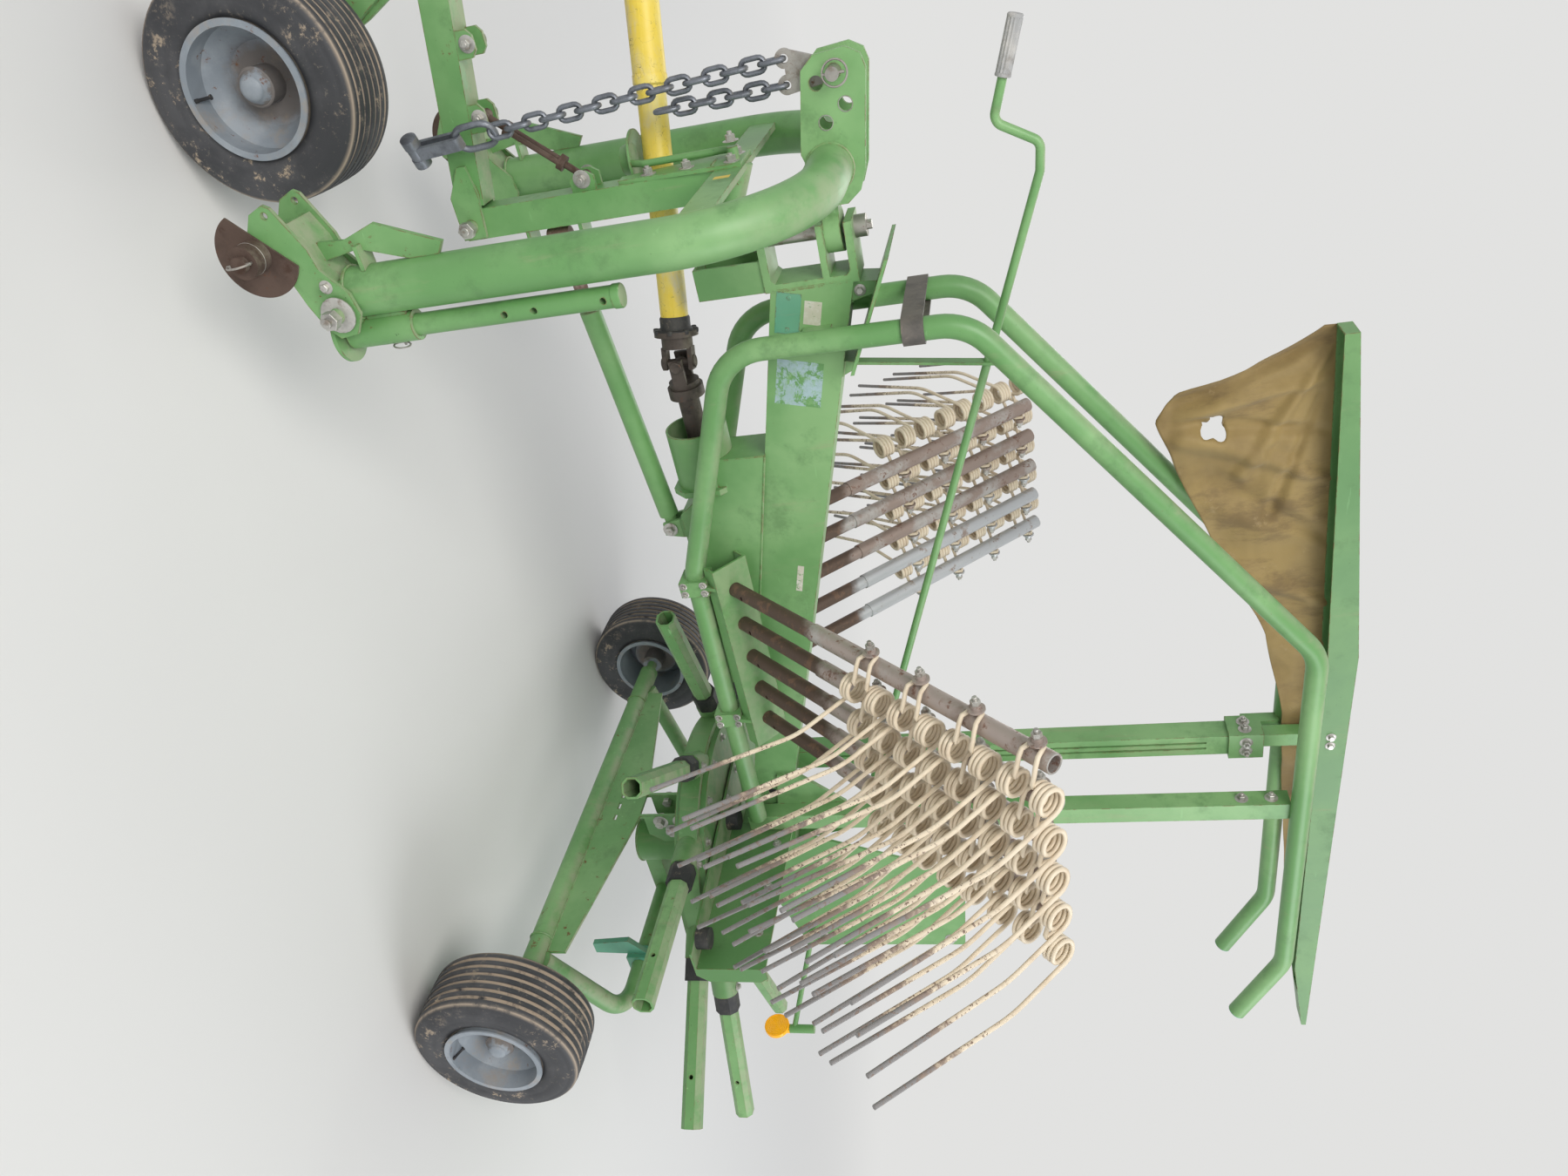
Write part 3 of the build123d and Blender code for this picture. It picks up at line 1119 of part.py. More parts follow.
curtain_outline = (
    (RAIL_FRONT_X, 2186), (RAIL_FRONT_X, 2150), (1151, 2011), (1110, 1858), (1048, 1816), (960, 1850),
    (705, 1948),
    (450, 2070), (200, 2120), (-500, 2165), (-815, 2212), (-760, 2235), (410, 2240),
)
add("curtain", plate_xz(curtain_outline, *curtain_y))

# Racks: folded channels square to the arms, on brackets clamped to the guard tubes
foot = Vector(*ARM_FOOT)
arm_vector = Vector(*ARM_VECTOR)
arm_length = arm_vector.length
along = arm_vector.normalized()
rearward = (Vector(-1, 0, 0) - along * (Vector(-1, 0, 0).dot(along))).normalized()
row_middle = foot - Vector(ARM_PITCH * (ARM_COUNT - 1) / 2, 0, 0)
rack_plane = Plane(origin=row_middle, x_dir=Vector(1, 0, 0), z_dir=Vector(0, along.Y, along.Z))


def rack():
    """The left rack without its pegs."""
    length = ARM_PITCH * (ARM_COUNT - 1) + 2 * RACK_OVERHANG
    sheet_z = -SEAT_GAP - SOCKET_R * ARM_VECTOR[0] / arm_length - RACK_SHEET / 2
    channel = rack_plane * Pos(0, 0, sheet_z) * Box(length, 2 * RACK_HALF_W, RACK_SHEET)
    for edge in (-RACK_HALF_W + RACK_SHEET / 2, RACK_HALF_W - RACK_SHEET / 2):
        channel += rack_plane * Pos(0, edge, sheet_z - RACK_LIP / 2) * Box(length, RACK_SHEET, RACK_LIP)
    for x in RACK_BRACKETS_X:
        z = guard_z(x)
        outline = (
            (GUARD_Y - 28, z - 34), (GUARD_Y + 28, z - 34), (GUARD_Y + 30, z + 20), (156, 812),
            (120, 846), (GUARD_Y - 28, z + 70)
        )
        plate = plate_yz(outline, x - RACK_BRACKET_T / 2, x + RACK_BRACKET_T / 2)
        plate += block((x - 20, x + 20), (GUARD_Y - 32, GUARD_Y + 32), (z - 34, z + 34))
        channel += plate
    return channel - guard_seats[1]


# Stowed arms: a socket end, the tube, and a clamp with bolt and washer at each double tine
def stowed_arm():
    """One arm in its own frame, foot at the origin."""
    upper_tube = Pos(0, 0, SOCKET_LENGTH) * extrude(
        Circle(ARM_R) - Circle(ARM_R - ARM_WALL), amount=arm_length - SOCKET_LENGTH
    )
    socket = extrude(Circle(SOCKET_R) - Circle(SOCKET_R - ARM_WALL), amount=SOCKET_LENGTH + 20)
    body = upper_tube + socket
    body -= rod((0, -SOCKET_R - 1, SOCKET_PIN_HEIGHT + 14), (0, 0, SOCKET_PIN_HEIGHT + 14), SOCKET_PIN_R)
    for place in TINE_PLACES:
        z = place * arm_length
        body += rod((-ARM_R + 1, 0, z), (-tine_head_x, 0, z), TINE_BOLT_R)
        body += rod((-tine_washer_x, 0, z), (-tine_washer_x - TINE_WASHER_T, 0, z), TINE_WASHER_R)
        body += rod((-tine_washer_x - TINE_WASHER_T, 0, z), (-tine_head_x, 0, z), TINE_HEAD_R)
    return body


tine_washer_x = ARM_R + 2 * TINE_WIRE_R + 2 * SEAT_GAP
tine_head_x = tine_washer_x + TINE_WASHER_T + TINE_HEAD_H


def tine():
    """Double tine: two coils beside the arm, two bent legs and the loop held under the bolt."""
    coil_x, coil_y = TINE_COIL_CENTRE
    wire_centre = TINE_COIL_R - TINE_WIRE_R
    seat_x = -(ARM_R + TINE_WIRE_R + SEAT_GAP)
    loop_z = TINE_COIL_OFFSET - TINE_COIL_LENGTH / 2 + TINE_WIRE_R
    bolt_side = (TINE_BOLT_R + TINE_WIRE_R + SEAT_GAP) * 1.65
    loop = wire(
        (
            (coil_x, coil_y - wire_centre, loop_z), (-21, -28, loop_z - 2), (seat_x, -1, bolt_side),
            (seat_x, bolt_side, 0), (seat_x, -1, -bolt_side), (-21, -28, 2 - loop_z),
            (coil_x, coil_y - wire_centre, -loop_z),
        ),
        TINE_WIRE_R,
        4,
    )
    pieces = loop
    for side in (-1, 1):
        z = side * TINE_COIL_OFFSET
        ring = RegularPolygon(TINE_COIL_R, 8) - RegularPolygon(TINE_COIL_R - 2 * TINE_WIRE_R, 8)
        coil = Pos(coil_x, coil_y, z) * extrude(ring, amount=TINE_COIL_LENGTH / 2, both=True)
        leg = wire(((coil_x + wire_centre, coil_y, z), (*TINE_BEND, z), (*TINE_TIP, z)), TINE_WIRE_R, 6)
        pieces = pieces + coil + leg
    return pieces


about_row = Pos(2 * row_middle.X, 0, 0) * Rot(0, 0, 180)
racks = {"left": rack(), "right": rack().mirror(Plane.XZ)}
for number in range(ARM_COUNT):
    base = foot - Vector(ARM_PITCH * number, 0, 0)
    peg = rod(tuple(base - along * 3), tuple(base + along * PEG_H), SOCKET_R - ARM_WALL - SEAT_GAP)
    racks["left"] += peg
    racks["right"] += about_row * peg
for name, channel in racks.items():
    add("rack_" + name, channel)
one_arm = stowed_arm()
one_tine = tine()
for number in range(ARM_COUNT):
    base = foot - Vector(ARM_PITCH * number, 0, 0)
    frame = Plane(origin=base, x_dir=rearward, z_dir=along)
    arm_here = frame * one_arm
    tines = [frame * Pos(0, 0, place * arm_length) * one_tine for place in TINE_PLACES]
    add("arms_left", arm_here)
    add("tines_left", *tines)
    add("arms_right", about_row * arm_here)
    add("tines_right", *[about_row * item for item in tines])

# Console: sheet housing below the beam with an eight-sided flange for the guard pot
console_outline = (
    (CONSOLE_FRONT_X, beam_bottom(CONSOLE_FRONT_X)), (CONSOLE_FRONT_X, 842), (CONSOLE_NECK_X, 822),
    (1000, 742), (700, 742),
    (CONSOLE_REAR_X, 800), (CONSOLE_REAR_X, beam_bottom(CONSOLE_REAR_X)),
)
console = plate_xz(console_outline, -CONSOLE_HALF_W, CONSOLE_HALF_W)
flange = plate_yz(
    [
        (y, PTO_Z + z) for y,
        z in chamfered_rectangle(2 * CONSOLE_FLANGE_HALF, 2 * CONSOLE_FLANGE_HALF, CONSOLE_FLANGE_CORNER)
    ],
    CONSOLE_NECK_X - CONSOLE_FLANGE_T,
    CONSOLE_NECK_X,
)
console += flange
console += block((920, 970), (-24, 24), (722, 743))
shaft_rear_x = CONSOLE_NECK_X - CONSOLE_FLANGE_T - 40
console -= rod((CONSOLE_NECK_X, 0, PTO_Z), (CONSOLE_FRONT_X + 9, 0, PTO_Z), POT_R + SEAT_GAP)
console -= rod((shaft_rear_x - SEAT_GAP, 0, PTO_Z), (CONSOLE_FRONT_X, 0, PTO_Z), GEARBOX_SHAFT_R + SEAT_GAP)
add("console", console)
add("guard_pot", rod((CONSOLE_NECK_X, 0, PTO_Z), (POT_FRONT_X, 0, PTO_Z), POT_R, POT_R - POT_WALL))

# Drive shaft: gearbox stub, two forks with a cross, clamp ring and the plastic guard tube
pivot = Vector(PTO_PIVOT_X, 0, PTO_Z)
shaft_run = Vector(PTO_FRONT_X, PTO_FRONT_Y, PTO_FRONT_Z) - pivot
pto_dir = shaft_run.normalized()
pto_side = Vector(0, 0, 1).cross(pto_dir).normalized()
pto_up = pto_dir.cross(pto_side)


def on_shaft(distance, lift=0.0):
    return tuple(pivot + pto_dir * distance + pto_up * lift)


collar_x = (PTO_PIVOT_X - 78, PTO_PIVOT_X - 42)
joint = rod((shaft_rear_x, 0, PTO_Z), (collar_x[1], 0, PTO_Z), GEARBOX_SHAFT_R)
joint += rod((collar_x[0], 0, PTO_Z), (collar_x[1] - 12, 0, PTO_Z), PTO_JOINT_R + 6)
joint += rod((collar_x[1] - 12, 0, PTO_Z), (collar_x[1], 0, PTO_Z), PTO_JOINT_R)
half_w = PTO_FORK_W / 2
for y in (-PTO_JOINT_R, PTO_JOINT_R - PTO_FORK_T):
    joint += block(
        (collar_x[1] - 1, PTO_PIVOT_X + half_w), (y, y + PTO_FORK_T), (PTO_Z - half_w, PTO_Z + half_w)
    )
arm_reach = Vector(0, PTO_JOINT_R, 0)
joint += rod(tuple(pivot - arm_reach), tuple(pivot + arm_reach), PTO_CROSS_R)
joint += post((PTO_PIVOT_X, 0), PTO_Z - PTO_JOINT_R, PTO_Z + PTO_JOINT_R, PTO_CROSS_R)
add("pto_joint", joint)
fork_middle = PTO_JOINT_R - PTO_FORK_T / 2
shaft = rod(on_shaft(32), on_shaft(70), PTO_JOINT_R)
shaft += rod(on_shaft(58), on_shaft(70), PTO_JOINT_R + 14)
for lift in (-fork_middle, fork_middle):
    shaft += bar(on_shaft(-half_w, lift), on_shaft(34, lift), PTO_FORK_W, PTO_FORK_T, tuple(pto_side))
shaft -= post((PTO_PIVOT_X, 0), PTO_Z - PTO_JOINT_R - 9, PTO_Z + PTO_JOINT_R + 9, PTO_CROSS_R + RUNNING_GAP)
add("pto_shaft", shaft)
guard = rod(on_shaft(70), on_shaft(shaft_run.length), PTO_GUARD_R)
guard += rod(on_shaft(PTO_SLEEVE_FROM), on_shaft(shaft_run.length), PTO_SLEEVE_R)
add("pto_guard", guard)

# Swing strut: ball end, rusty rod and painted tube
front_v, rear_v = Vector(*STRUT_FRONT), Vector(*STRUT_REAR)
strut_dir = (rear_v - front_v).normalized()
rod_end = front_v + strut_dir * STRUT_ROD_LENGTH
strut = rod(tuple(front_v + strut_dir * 10), tuple(rod_end), STRUT_ROD_R)
strut += rod(tuple(rod_end), tuple(rear_v - strut_dir * 30), STRUT_TUBE_R)
strut += post((STRUT_FRONT[0], 0), STRUT_FRONT[2] - 24, STRUT_FRONT[2] + 24, STRUT_BALL_R)
strut += rod(tuple(rear_v - strut_dir * 40), tuple(rear_v), STRUT_ROD_R)
strut += rod((STRUT_REAR[0], -26, STRUT_REAR[2]), (STRUT_REAR[0], 26, STRUT_REAR[2]), 11)
ear = (
    (STRUT_REAR[0] - 25, 722 - SEAT_GAP), (STRUT_REAR[0] + 25, 722 - SEAT_GAP),
    (STRUT_REAR[0] + 16, STRUT_REAR[2] - 16), (STRUT_REAR[0] - 16, STRUT_REAR[2] - 16),
)
for low in (-24, 16):
    strut += plate_xz(ear, low, low + BRACKET_PLATE_T)
add("strut", strut)

# Crank with its grip
crank = bent_tube([(x, 0, z) for x, z in CRANK_CORNERS_XZ], CRANK_BEND, CRANK_ROD_R)
socket_seat = bar((HEAD_FRONT_X - 60, 0, head_top - 10), (crank_end[0] - 30, 0, crank_end[1] - 12), 26, 40)
crank -= socket_seat
add("crank_rod", crank)
grip_dir = (crank_line[0] - crank_line[1]).normalized()
grip_start = crank_line[0] + grip_dir * SEAT_GAP
grip = rod(tuple(grip_start), tuple(grip_start + grip_dir * CRANK_GRIP_LENGTH), CRANK_GRIP_R)
add("crank_grip", grip)

# Reflector on its rod beside the side plate
reflector_top = (-712, 250, 785)
reflector_low = (-712, 250, REFLECTOR_Z + REFLECTOR_R + 1)
reflector_arm = rod((-472, side_y + SIDE_PLATE_T + 9, 799), (-706, 246, 724), 8)
reflector_arm += rod(reflector_low, reflector_top, 13)
reflector_arm += rod((-470, side_y + SIDE_PLATE_T, 800), (-470, side_y + SIDE_PLATE_T + 14, 800), 13)
add("reflector_arm", reflector_arm)
reflector = rod((-706, 250, REFLECTOR_Z), (-696, 250, REFLECTOR_Z), REFLECTOR_R)
reflector += block((-718, -706), (238, 262), (REFLECTOR_Z - 7, reflector_low[2] - SEAT_GAP))
add("reflector", reflector)


# Safety chain: two strands of welded links from the clevis on the upper pin, then a big link and hook
def chain_link(middle, direction, across, size, reach, half_w, width):
    """One link of flat-sided wire: reach and half_w are measured to the wire's middle."""
    corner = half_w - CHAIN_END_HALF
    faces = []
    for grow in (size / 2, -size / 2):
        shift = grow * tan(radians(22.5))
        outline = chamfered_rectangle(2 * (reach + grow), 2 * (half_w + grow), corner + grow - shift)
        faces.append(make_face(Polyline(*outline, close=True)))
    plane = Plane(origin=middle, x_dir=direction, z_dir=direction.cross(across))
    return extrude(plane * (faces[0] - faces[1]), amount=width / 2, both=True)


def strand(start, end, count):
    """Links that hang from the eye at start towards end, each turned a quarter to the last."""
    reach = (CHAIN_PITCH + CHAIN_WIRE + SEAT_GAP) / 2
    down = (Vector(*end) - Vector(*start)).normalized()
    turns = (Vector(0, 1, 0) - down * down.Y).normalized(), (Vector(1, 0, 0) - down * down.X).normalized()
    links = []
    for number in range(count):
        middle = Vector(*start) + down * (reach + CHAIN_PITCH * number)
        links.append(
            chain_link(middle, down, turns[number % 2], CHAIN_WIRE, reach, CHAIN_LINK_W / 2, CHAIN_WIRE)
        )
    last = reach * 2 + CHAIN_PITCH * (count - 1)
    return links, down, turns[count % 2], turns[(count + 1) % 2], last


main_links, down, across, other, reached = strand(CHAIN_EYE_FRONT, CHAIN_MAIN_END, CHAIN_MAIN_LINKS)
add("chain", *main_links)
big_reach = BIG_LINK_LENGTH / 2
tip = reached - CHAIN_WIRE / 2 - BIG_LINK_WIRE / 2 - SEAT_GAP
middle = Vector(*CHAIN_EYE_FRONT) + down * (tip + big_reach)
add("chain", chain_link(middle, down, across, BIG_LINK_WIRE, big_reach, BIG_LINK_W / 2, BIG_LINK_WIRE))
tip += 2 * big_reach - (BIG_LINK_WIRE + SHACKLE_SHEET) / 2 - SEAT_GAP
middle = Vector(*CHAIN_EYE_FRONT) + down * (tip + SHACKLE_LENGTH / 2)
shackle_half_w = (BIG_LINK_WIRE + SHACKLE_SHEET) / 2 + SEAT_GAP
shackle = chain_link(middle, down, other, SHACKLE_SHEET, SHACKLE_LENGTH / 2, shackle_half_w, SHACKLE_W)
barrel_middle = middle + down * (SHACKLE_LENGTH / 2 - 4)
barrel_half = across * (SHACKLE_BARREL_LENGTH / 2)
shackle += rod(tuple(barrel_middle - barrel_half), tuple(barrel_middle + barrel_half), SHACKLE_BARREL_R)
add("chain", shackle)
tail_links = strand(CHAIN_EYE_BACK, CHAIN_TAIL_END, CHAIN_TAIL_LINKS)[0]
add("chain", *tail_links)

# Export in the final frame, centred on the box
os.makedirs("parts", exist_ok=True)
for name, solids in parts.items():
    moved = [Pos(-CENTRE_X, 0, 0) * solid for solid in solids]
    export_step(Compound(moved) if len(moved) > 1 else moved[0], "parts/" + name + ".step")
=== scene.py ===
"""Looks of the single-rotor hay rake: worn paint, ribbed tyres, coiled tines, chain, cloth and small hardware.

Places are millimetres from the middle of the axle on the ground, as in the part's source, and at() turns
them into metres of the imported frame. Each piece rides on the body that carries it.
"""

import random
from math import atan2, copysign, cos, pi, radians, sin, sqrt

import bpy
from mathutils import Matrix, Vector, noise


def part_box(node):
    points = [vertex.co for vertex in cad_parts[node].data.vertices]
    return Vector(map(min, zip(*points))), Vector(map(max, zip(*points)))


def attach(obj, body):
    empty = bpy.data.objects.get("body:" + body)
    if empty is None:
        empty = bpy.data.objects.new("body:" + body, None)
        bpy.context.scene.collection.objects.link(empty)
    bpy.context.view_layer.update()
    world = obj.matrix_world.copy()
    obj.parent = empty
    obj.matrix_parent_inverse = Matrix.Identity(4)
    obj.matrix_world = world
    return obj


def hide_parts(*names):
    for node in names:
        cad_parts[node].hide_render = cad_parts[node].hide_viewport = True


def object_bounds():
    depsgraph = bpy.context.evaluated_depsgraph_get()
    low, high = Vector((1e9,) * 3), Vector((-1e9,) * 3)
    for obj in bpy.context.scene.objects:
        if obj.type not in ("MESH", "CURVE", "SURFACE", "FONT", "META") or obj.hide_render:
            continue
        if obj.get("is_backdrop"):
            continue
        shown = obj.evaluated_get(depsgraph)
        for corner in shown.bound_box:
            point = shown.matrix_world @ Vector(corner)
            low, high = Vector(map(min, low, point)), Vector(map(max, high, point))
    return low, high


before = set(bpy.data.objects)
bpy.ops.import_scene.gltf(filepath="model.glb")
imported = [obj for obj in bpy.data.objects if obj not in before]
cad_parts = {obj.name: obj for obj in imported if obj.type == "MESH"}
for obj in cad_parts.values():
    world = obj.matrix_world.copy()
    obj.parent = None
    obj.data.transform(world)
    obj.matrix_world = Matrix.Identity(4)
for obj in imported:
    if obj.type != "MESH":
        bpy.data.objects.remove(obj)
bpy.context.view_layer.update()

AXLE_TO_FRAME = -0.685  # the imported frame's middle lies this far ahead of the axle, in metres
MM = 0.001
SIDES = (-1, 1)  # right, left
UP = Vector((0, 0, 1))
FORWARD = Vector((1, 0, 0))
LEFT = Vector((0, 1, 0))


def at(x, y, z):
    """Axle-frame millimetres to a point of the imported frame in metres."""
    return Vector((x * MM + AXLE_TO_FRAME, y * MM, z * MM))


# Shapes: each function gives (points, faces) or a list of them, and piece() joins them into one object

BOLT_WASHER_R, BOLT_WASHER_T = 0.95, 1.6  # radius as a share of the size across the flats, thickness in mm
BOLT_HEAD_H, BOLT_STEM_R, BOLT_CHAMFER = 0.62, 0.3, 0.9  # the first two are shares of the size
WELD_STEP = 0.005


def basis(axis):
    """Two unit vectors square to axis."""
    axis = Vector(axis).normalized()
    helper = UP if abs(axis.z) < 0.9 else FORWARD
    first = (helper - axis * helper.dot(axis)).normalized()
    return first, axis.cross(first)


def turns(steps):
    return [2 * pi * k / steps for k in range(steps)]


def circle(centre, normal, radius, steps=36):
    """Points of a circle, radius in mm."""
    first, second = basis(normal)
    return [centre + (first * cos(a) + second * sin(a)) * (radius * MM) for a in turns(steps)]


def skin(rows, size, closed=False):
    """Faces that join rows of size points each, with a cap at both ends unless closed."""
    faces = []
    for row in range(rows if closed else rows - 1):
        low, high = row * size, (row + 1) % rows * size
        for step in range(size):
            after = (step + 1) % size
            faces.append((low + step, low + after, high + after, high + step))
    if not closed:
        faces += [tuple(reversed(range(size))), tuple(range((rows - 1) * size, rows * size))]
    return faces


def lathe(profile, origin, axis, steps=32):
    """Profile of (radius, distance along axis) in mm, turned about the axis; a radius of 0 closes an end."""
    axis = Vector(axis).normalized()
    points, faces, rings = [], [], []
    for radius, distance in profile:
        centre = origin + axis * (distance * MM)
        ring = circle(centre, axis, radius, steps) if radius > 0 else [centre]
        rings.append(range(len(points), len(points) + len(ring)))
        points += ring
    for low, high in zip(rings, rings[1:]):
        for k in range(steps):
            after = (k + 1) % steps
            if len(low) == 1:
                faces.append((low[0], high[after], high[k]))
            elif len(high) == 1:
                faces.append((low[k], low[after], high[0]))
            else:
                faces.append((low[k], low[after], high[after], high[k]))
    return points, faces


def tube(path, radius, sides=8, closed=False, taper=None):
    """Round wire along points in metres; radius in mm, and taper gives a share of it at each point."""
    count = len(path)
    tangents = []
    for k, here in enumerate(path):
        before = path[k - 1] if k or closed else here
        after = path[(k + 1) % count] if k + 1 < count or closed else here
        tangents.append((after - before).normalized())
    side = basis(tangents[0])[0]
    points = []
    for k, (here, tangent) in enumerate(zip(path, tangents)):
        side = (side - tangent * side.dot(tangent)).normalized()
        other = tangent.cross(side)
        size = radius * MM * (taper[k] if taper else 1.0)
        points += [here + (side * cos(a) + other * sin(a)) * size for a in turns(sides)]
    return points, skin(count, sides, closed)


def prism(outline, origin, first, second, height, inset=0.0):
    """Outline of (first, second) mm, raised by height mm along first x second; inset chamfers its upper edge."""
    first, second = Vector(first).normalized(), Vector(second).normalized()
    normal = first.cross(second)
    middle = Vector([sum(numbers) / len(outline) for numbers in zip(*outline)])
    levels = ((0, 0), (height - inset, 0), (height, inset)) if inset else ((0, 0), (height, 0))
    points = []
    for level, pull in levels:
        for a, b in outline:
            away = (Vector((a, b)) - middle).normalized() * pull
            points.append(origin + (first * (a - away.x) + second * (b - away.y) + normal * level) * MM)
    return points, skin(len(levels), len(outline))


def corners(radii):
    """Flat corners at even angles, one for each radius in mm."""
    return [(radius * cos(a), radius * sin(a)) for radius, a in zip(radii, turns(len(radii)))]


def bolt(origin, axis, across, stem=0.0, washer=True):
    """Hex head on a chamfered washer, seated at origin and pointing along axis, with an optional thread end."""
    axis = Vector(axis).normalized()
    shapes, head_at = [], origin
    if washer:
        reach = across * BOLT_WASHER_R
        rim = [(0, 0), (reach, 0), (reach, BOLT_WASHER_T / 2), (reach * 0.82, BOLT_WASHER_T), (0, BOLT_WASHER_T)]
        shapes.append(lathe(rim, origin, axis, 20))
        head_at = origin + axis * (BOLT_WASHER_T * MM)
    height = across * BOLT_HEAD_H
    hexagon = corners([across / 2 / cos(pi / 6)] * 6)
    shapes.append(prism(hexagon, head_at, *basis(axis), height, BOLT_CHAMFER))
    if stem:
        radius = across * BOLT_STEM_R
        end = [(radius, -1), (radius, stem - 1), (radius * 0.8, stem), (0, stem)]
        shapes.append(lathe(end, head_at + axis * (height * MM), axis, 12))
    return shapes


def bolts(rows):
    """Bolts from rows of (axis, size across the flats, thread end, places in mm)."""
    return [bolt(at(*place), axis, across, stem) for axis, across, stem, places in rows for place in places]


def bolt_pair(x, y, z, across, **options):
    """A bolt on each side, y mm off the middle and pointing outward."""
    return [bolt(at(x, side * y, z), LEFT * side, across, **options) for side in SIDES]


def wire_ring(centre, normal, radius, wire, steps=28):
    return tube(circle(centre, normal, radius, steps), wire, 6, closed=True)


def weld(path, seed, radius=3.2, closed=False):
    """Bead with a scaled surface along points in metres."""
    fine = []
    for start, end in zip(path, path[1:] + (path[:1] if closed else [])):
        steps = max(2, int((end - start).length / WELD_STEP))
        fine += [start.lerp(end, step / steps) for step in range(steps)]
    if not closed:
        fine.append(path[-1])
    scales = [0.8 + 0.25 * abs(sin(k * 1.3 + seed)) for k in range(len(fine))]
    return tube(fine, radius, 6, closed, [scale + 0.1 * noise.noise(p * 90) for scale, p in zip(scales, fine)])


def round_weld(centre, normal, bead_r, seed, radius=3.2):
    return weld(circle(centre, normal, bead_r), seed, radius, closed=True)


def welds(rows):
    """Straight beads from rows of (start, end, seed, radius) in mm."""
    return [weld([at(*start), at(*end)], seed, radius) for start, end, seed, radius in rows]


def link(name, data):
    made = bpy.data.objects.new(name, data)
    bpy.context.scene.collection.objects.link(made)
    return made


def piece(name, shapes, body, material, stands_for=(), smooth_deg=38, values=None):
    """One object from shapes, riding on body; values gives numbers by point for the material to read."""
    points, faces = [], []
    for shape in shapes:
        for part_points, part_faces in shape if isinstance(shape, list) else [shape]:
            base = len(points)
            points += part_points
            faces += [tuple(base + k for k in face) for face in part_faces]
    mesh = bpy.data.meshes.new(name)
    mesh.from_pydata([tuple(p) for p in points], [], faces)
    mesh.update()
    for polygon in mesh.polygons:
        polygon.use_smooth = True
    mesh.set_sharp_from_angle(angle=radians(smooth_deg))
    for label, numbers in (values or {}).items():
        layer = mesh.attributes.new(label, "FLOAT", "POINT")
        layer.data.foreach_set("value", numbers)
    mesh.materials.append(material)
    made = link(name, mesh)
    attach(made, body)
    if stands_for:
        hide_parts(*stands_for)
    return made


# Materials

MIX_COLOUR, MIX_NUMBER = (6, 7, 2), (2, 3, 0)  # the mix node's sockets for A, B and the result
RUST = (0.16, 0.062, 0.026)
RUST_DARK = (0.06, 0.03, 0.018)
MUD = (0.36, 0.28, 0.2)
DUST = (0.46, 0.41, 0.32)
GREEN = (0.122, 0.29, 0.094)
GREEN_FADED = (0.225, 0.41, 0.17)
STRUT_ROD_END = at(1491, 0, 0).x


def shade(colour, factor, plus=0.0):
    return tuple(min(1.0, part * factor + plus) for part in colour)


def fill(tree, node, sockets):
    """Gives inputs of a node a value or another node's output."""
    for key, given in sockets.items():
        if isinstance(given, bpy.types.NodeSocket):
            tree.links.new(given, node.inputs[key])
        else:
            node.inputs[key].default_value = given


def add_node(tree, kind, sockets=None, **settings):
    made = tree.nodes.new("ShaderNode" + kind)
    for name, setting in settings.items():
        setattr(made, name, setting)
    fill(tree, made, sockets or {})
    return made


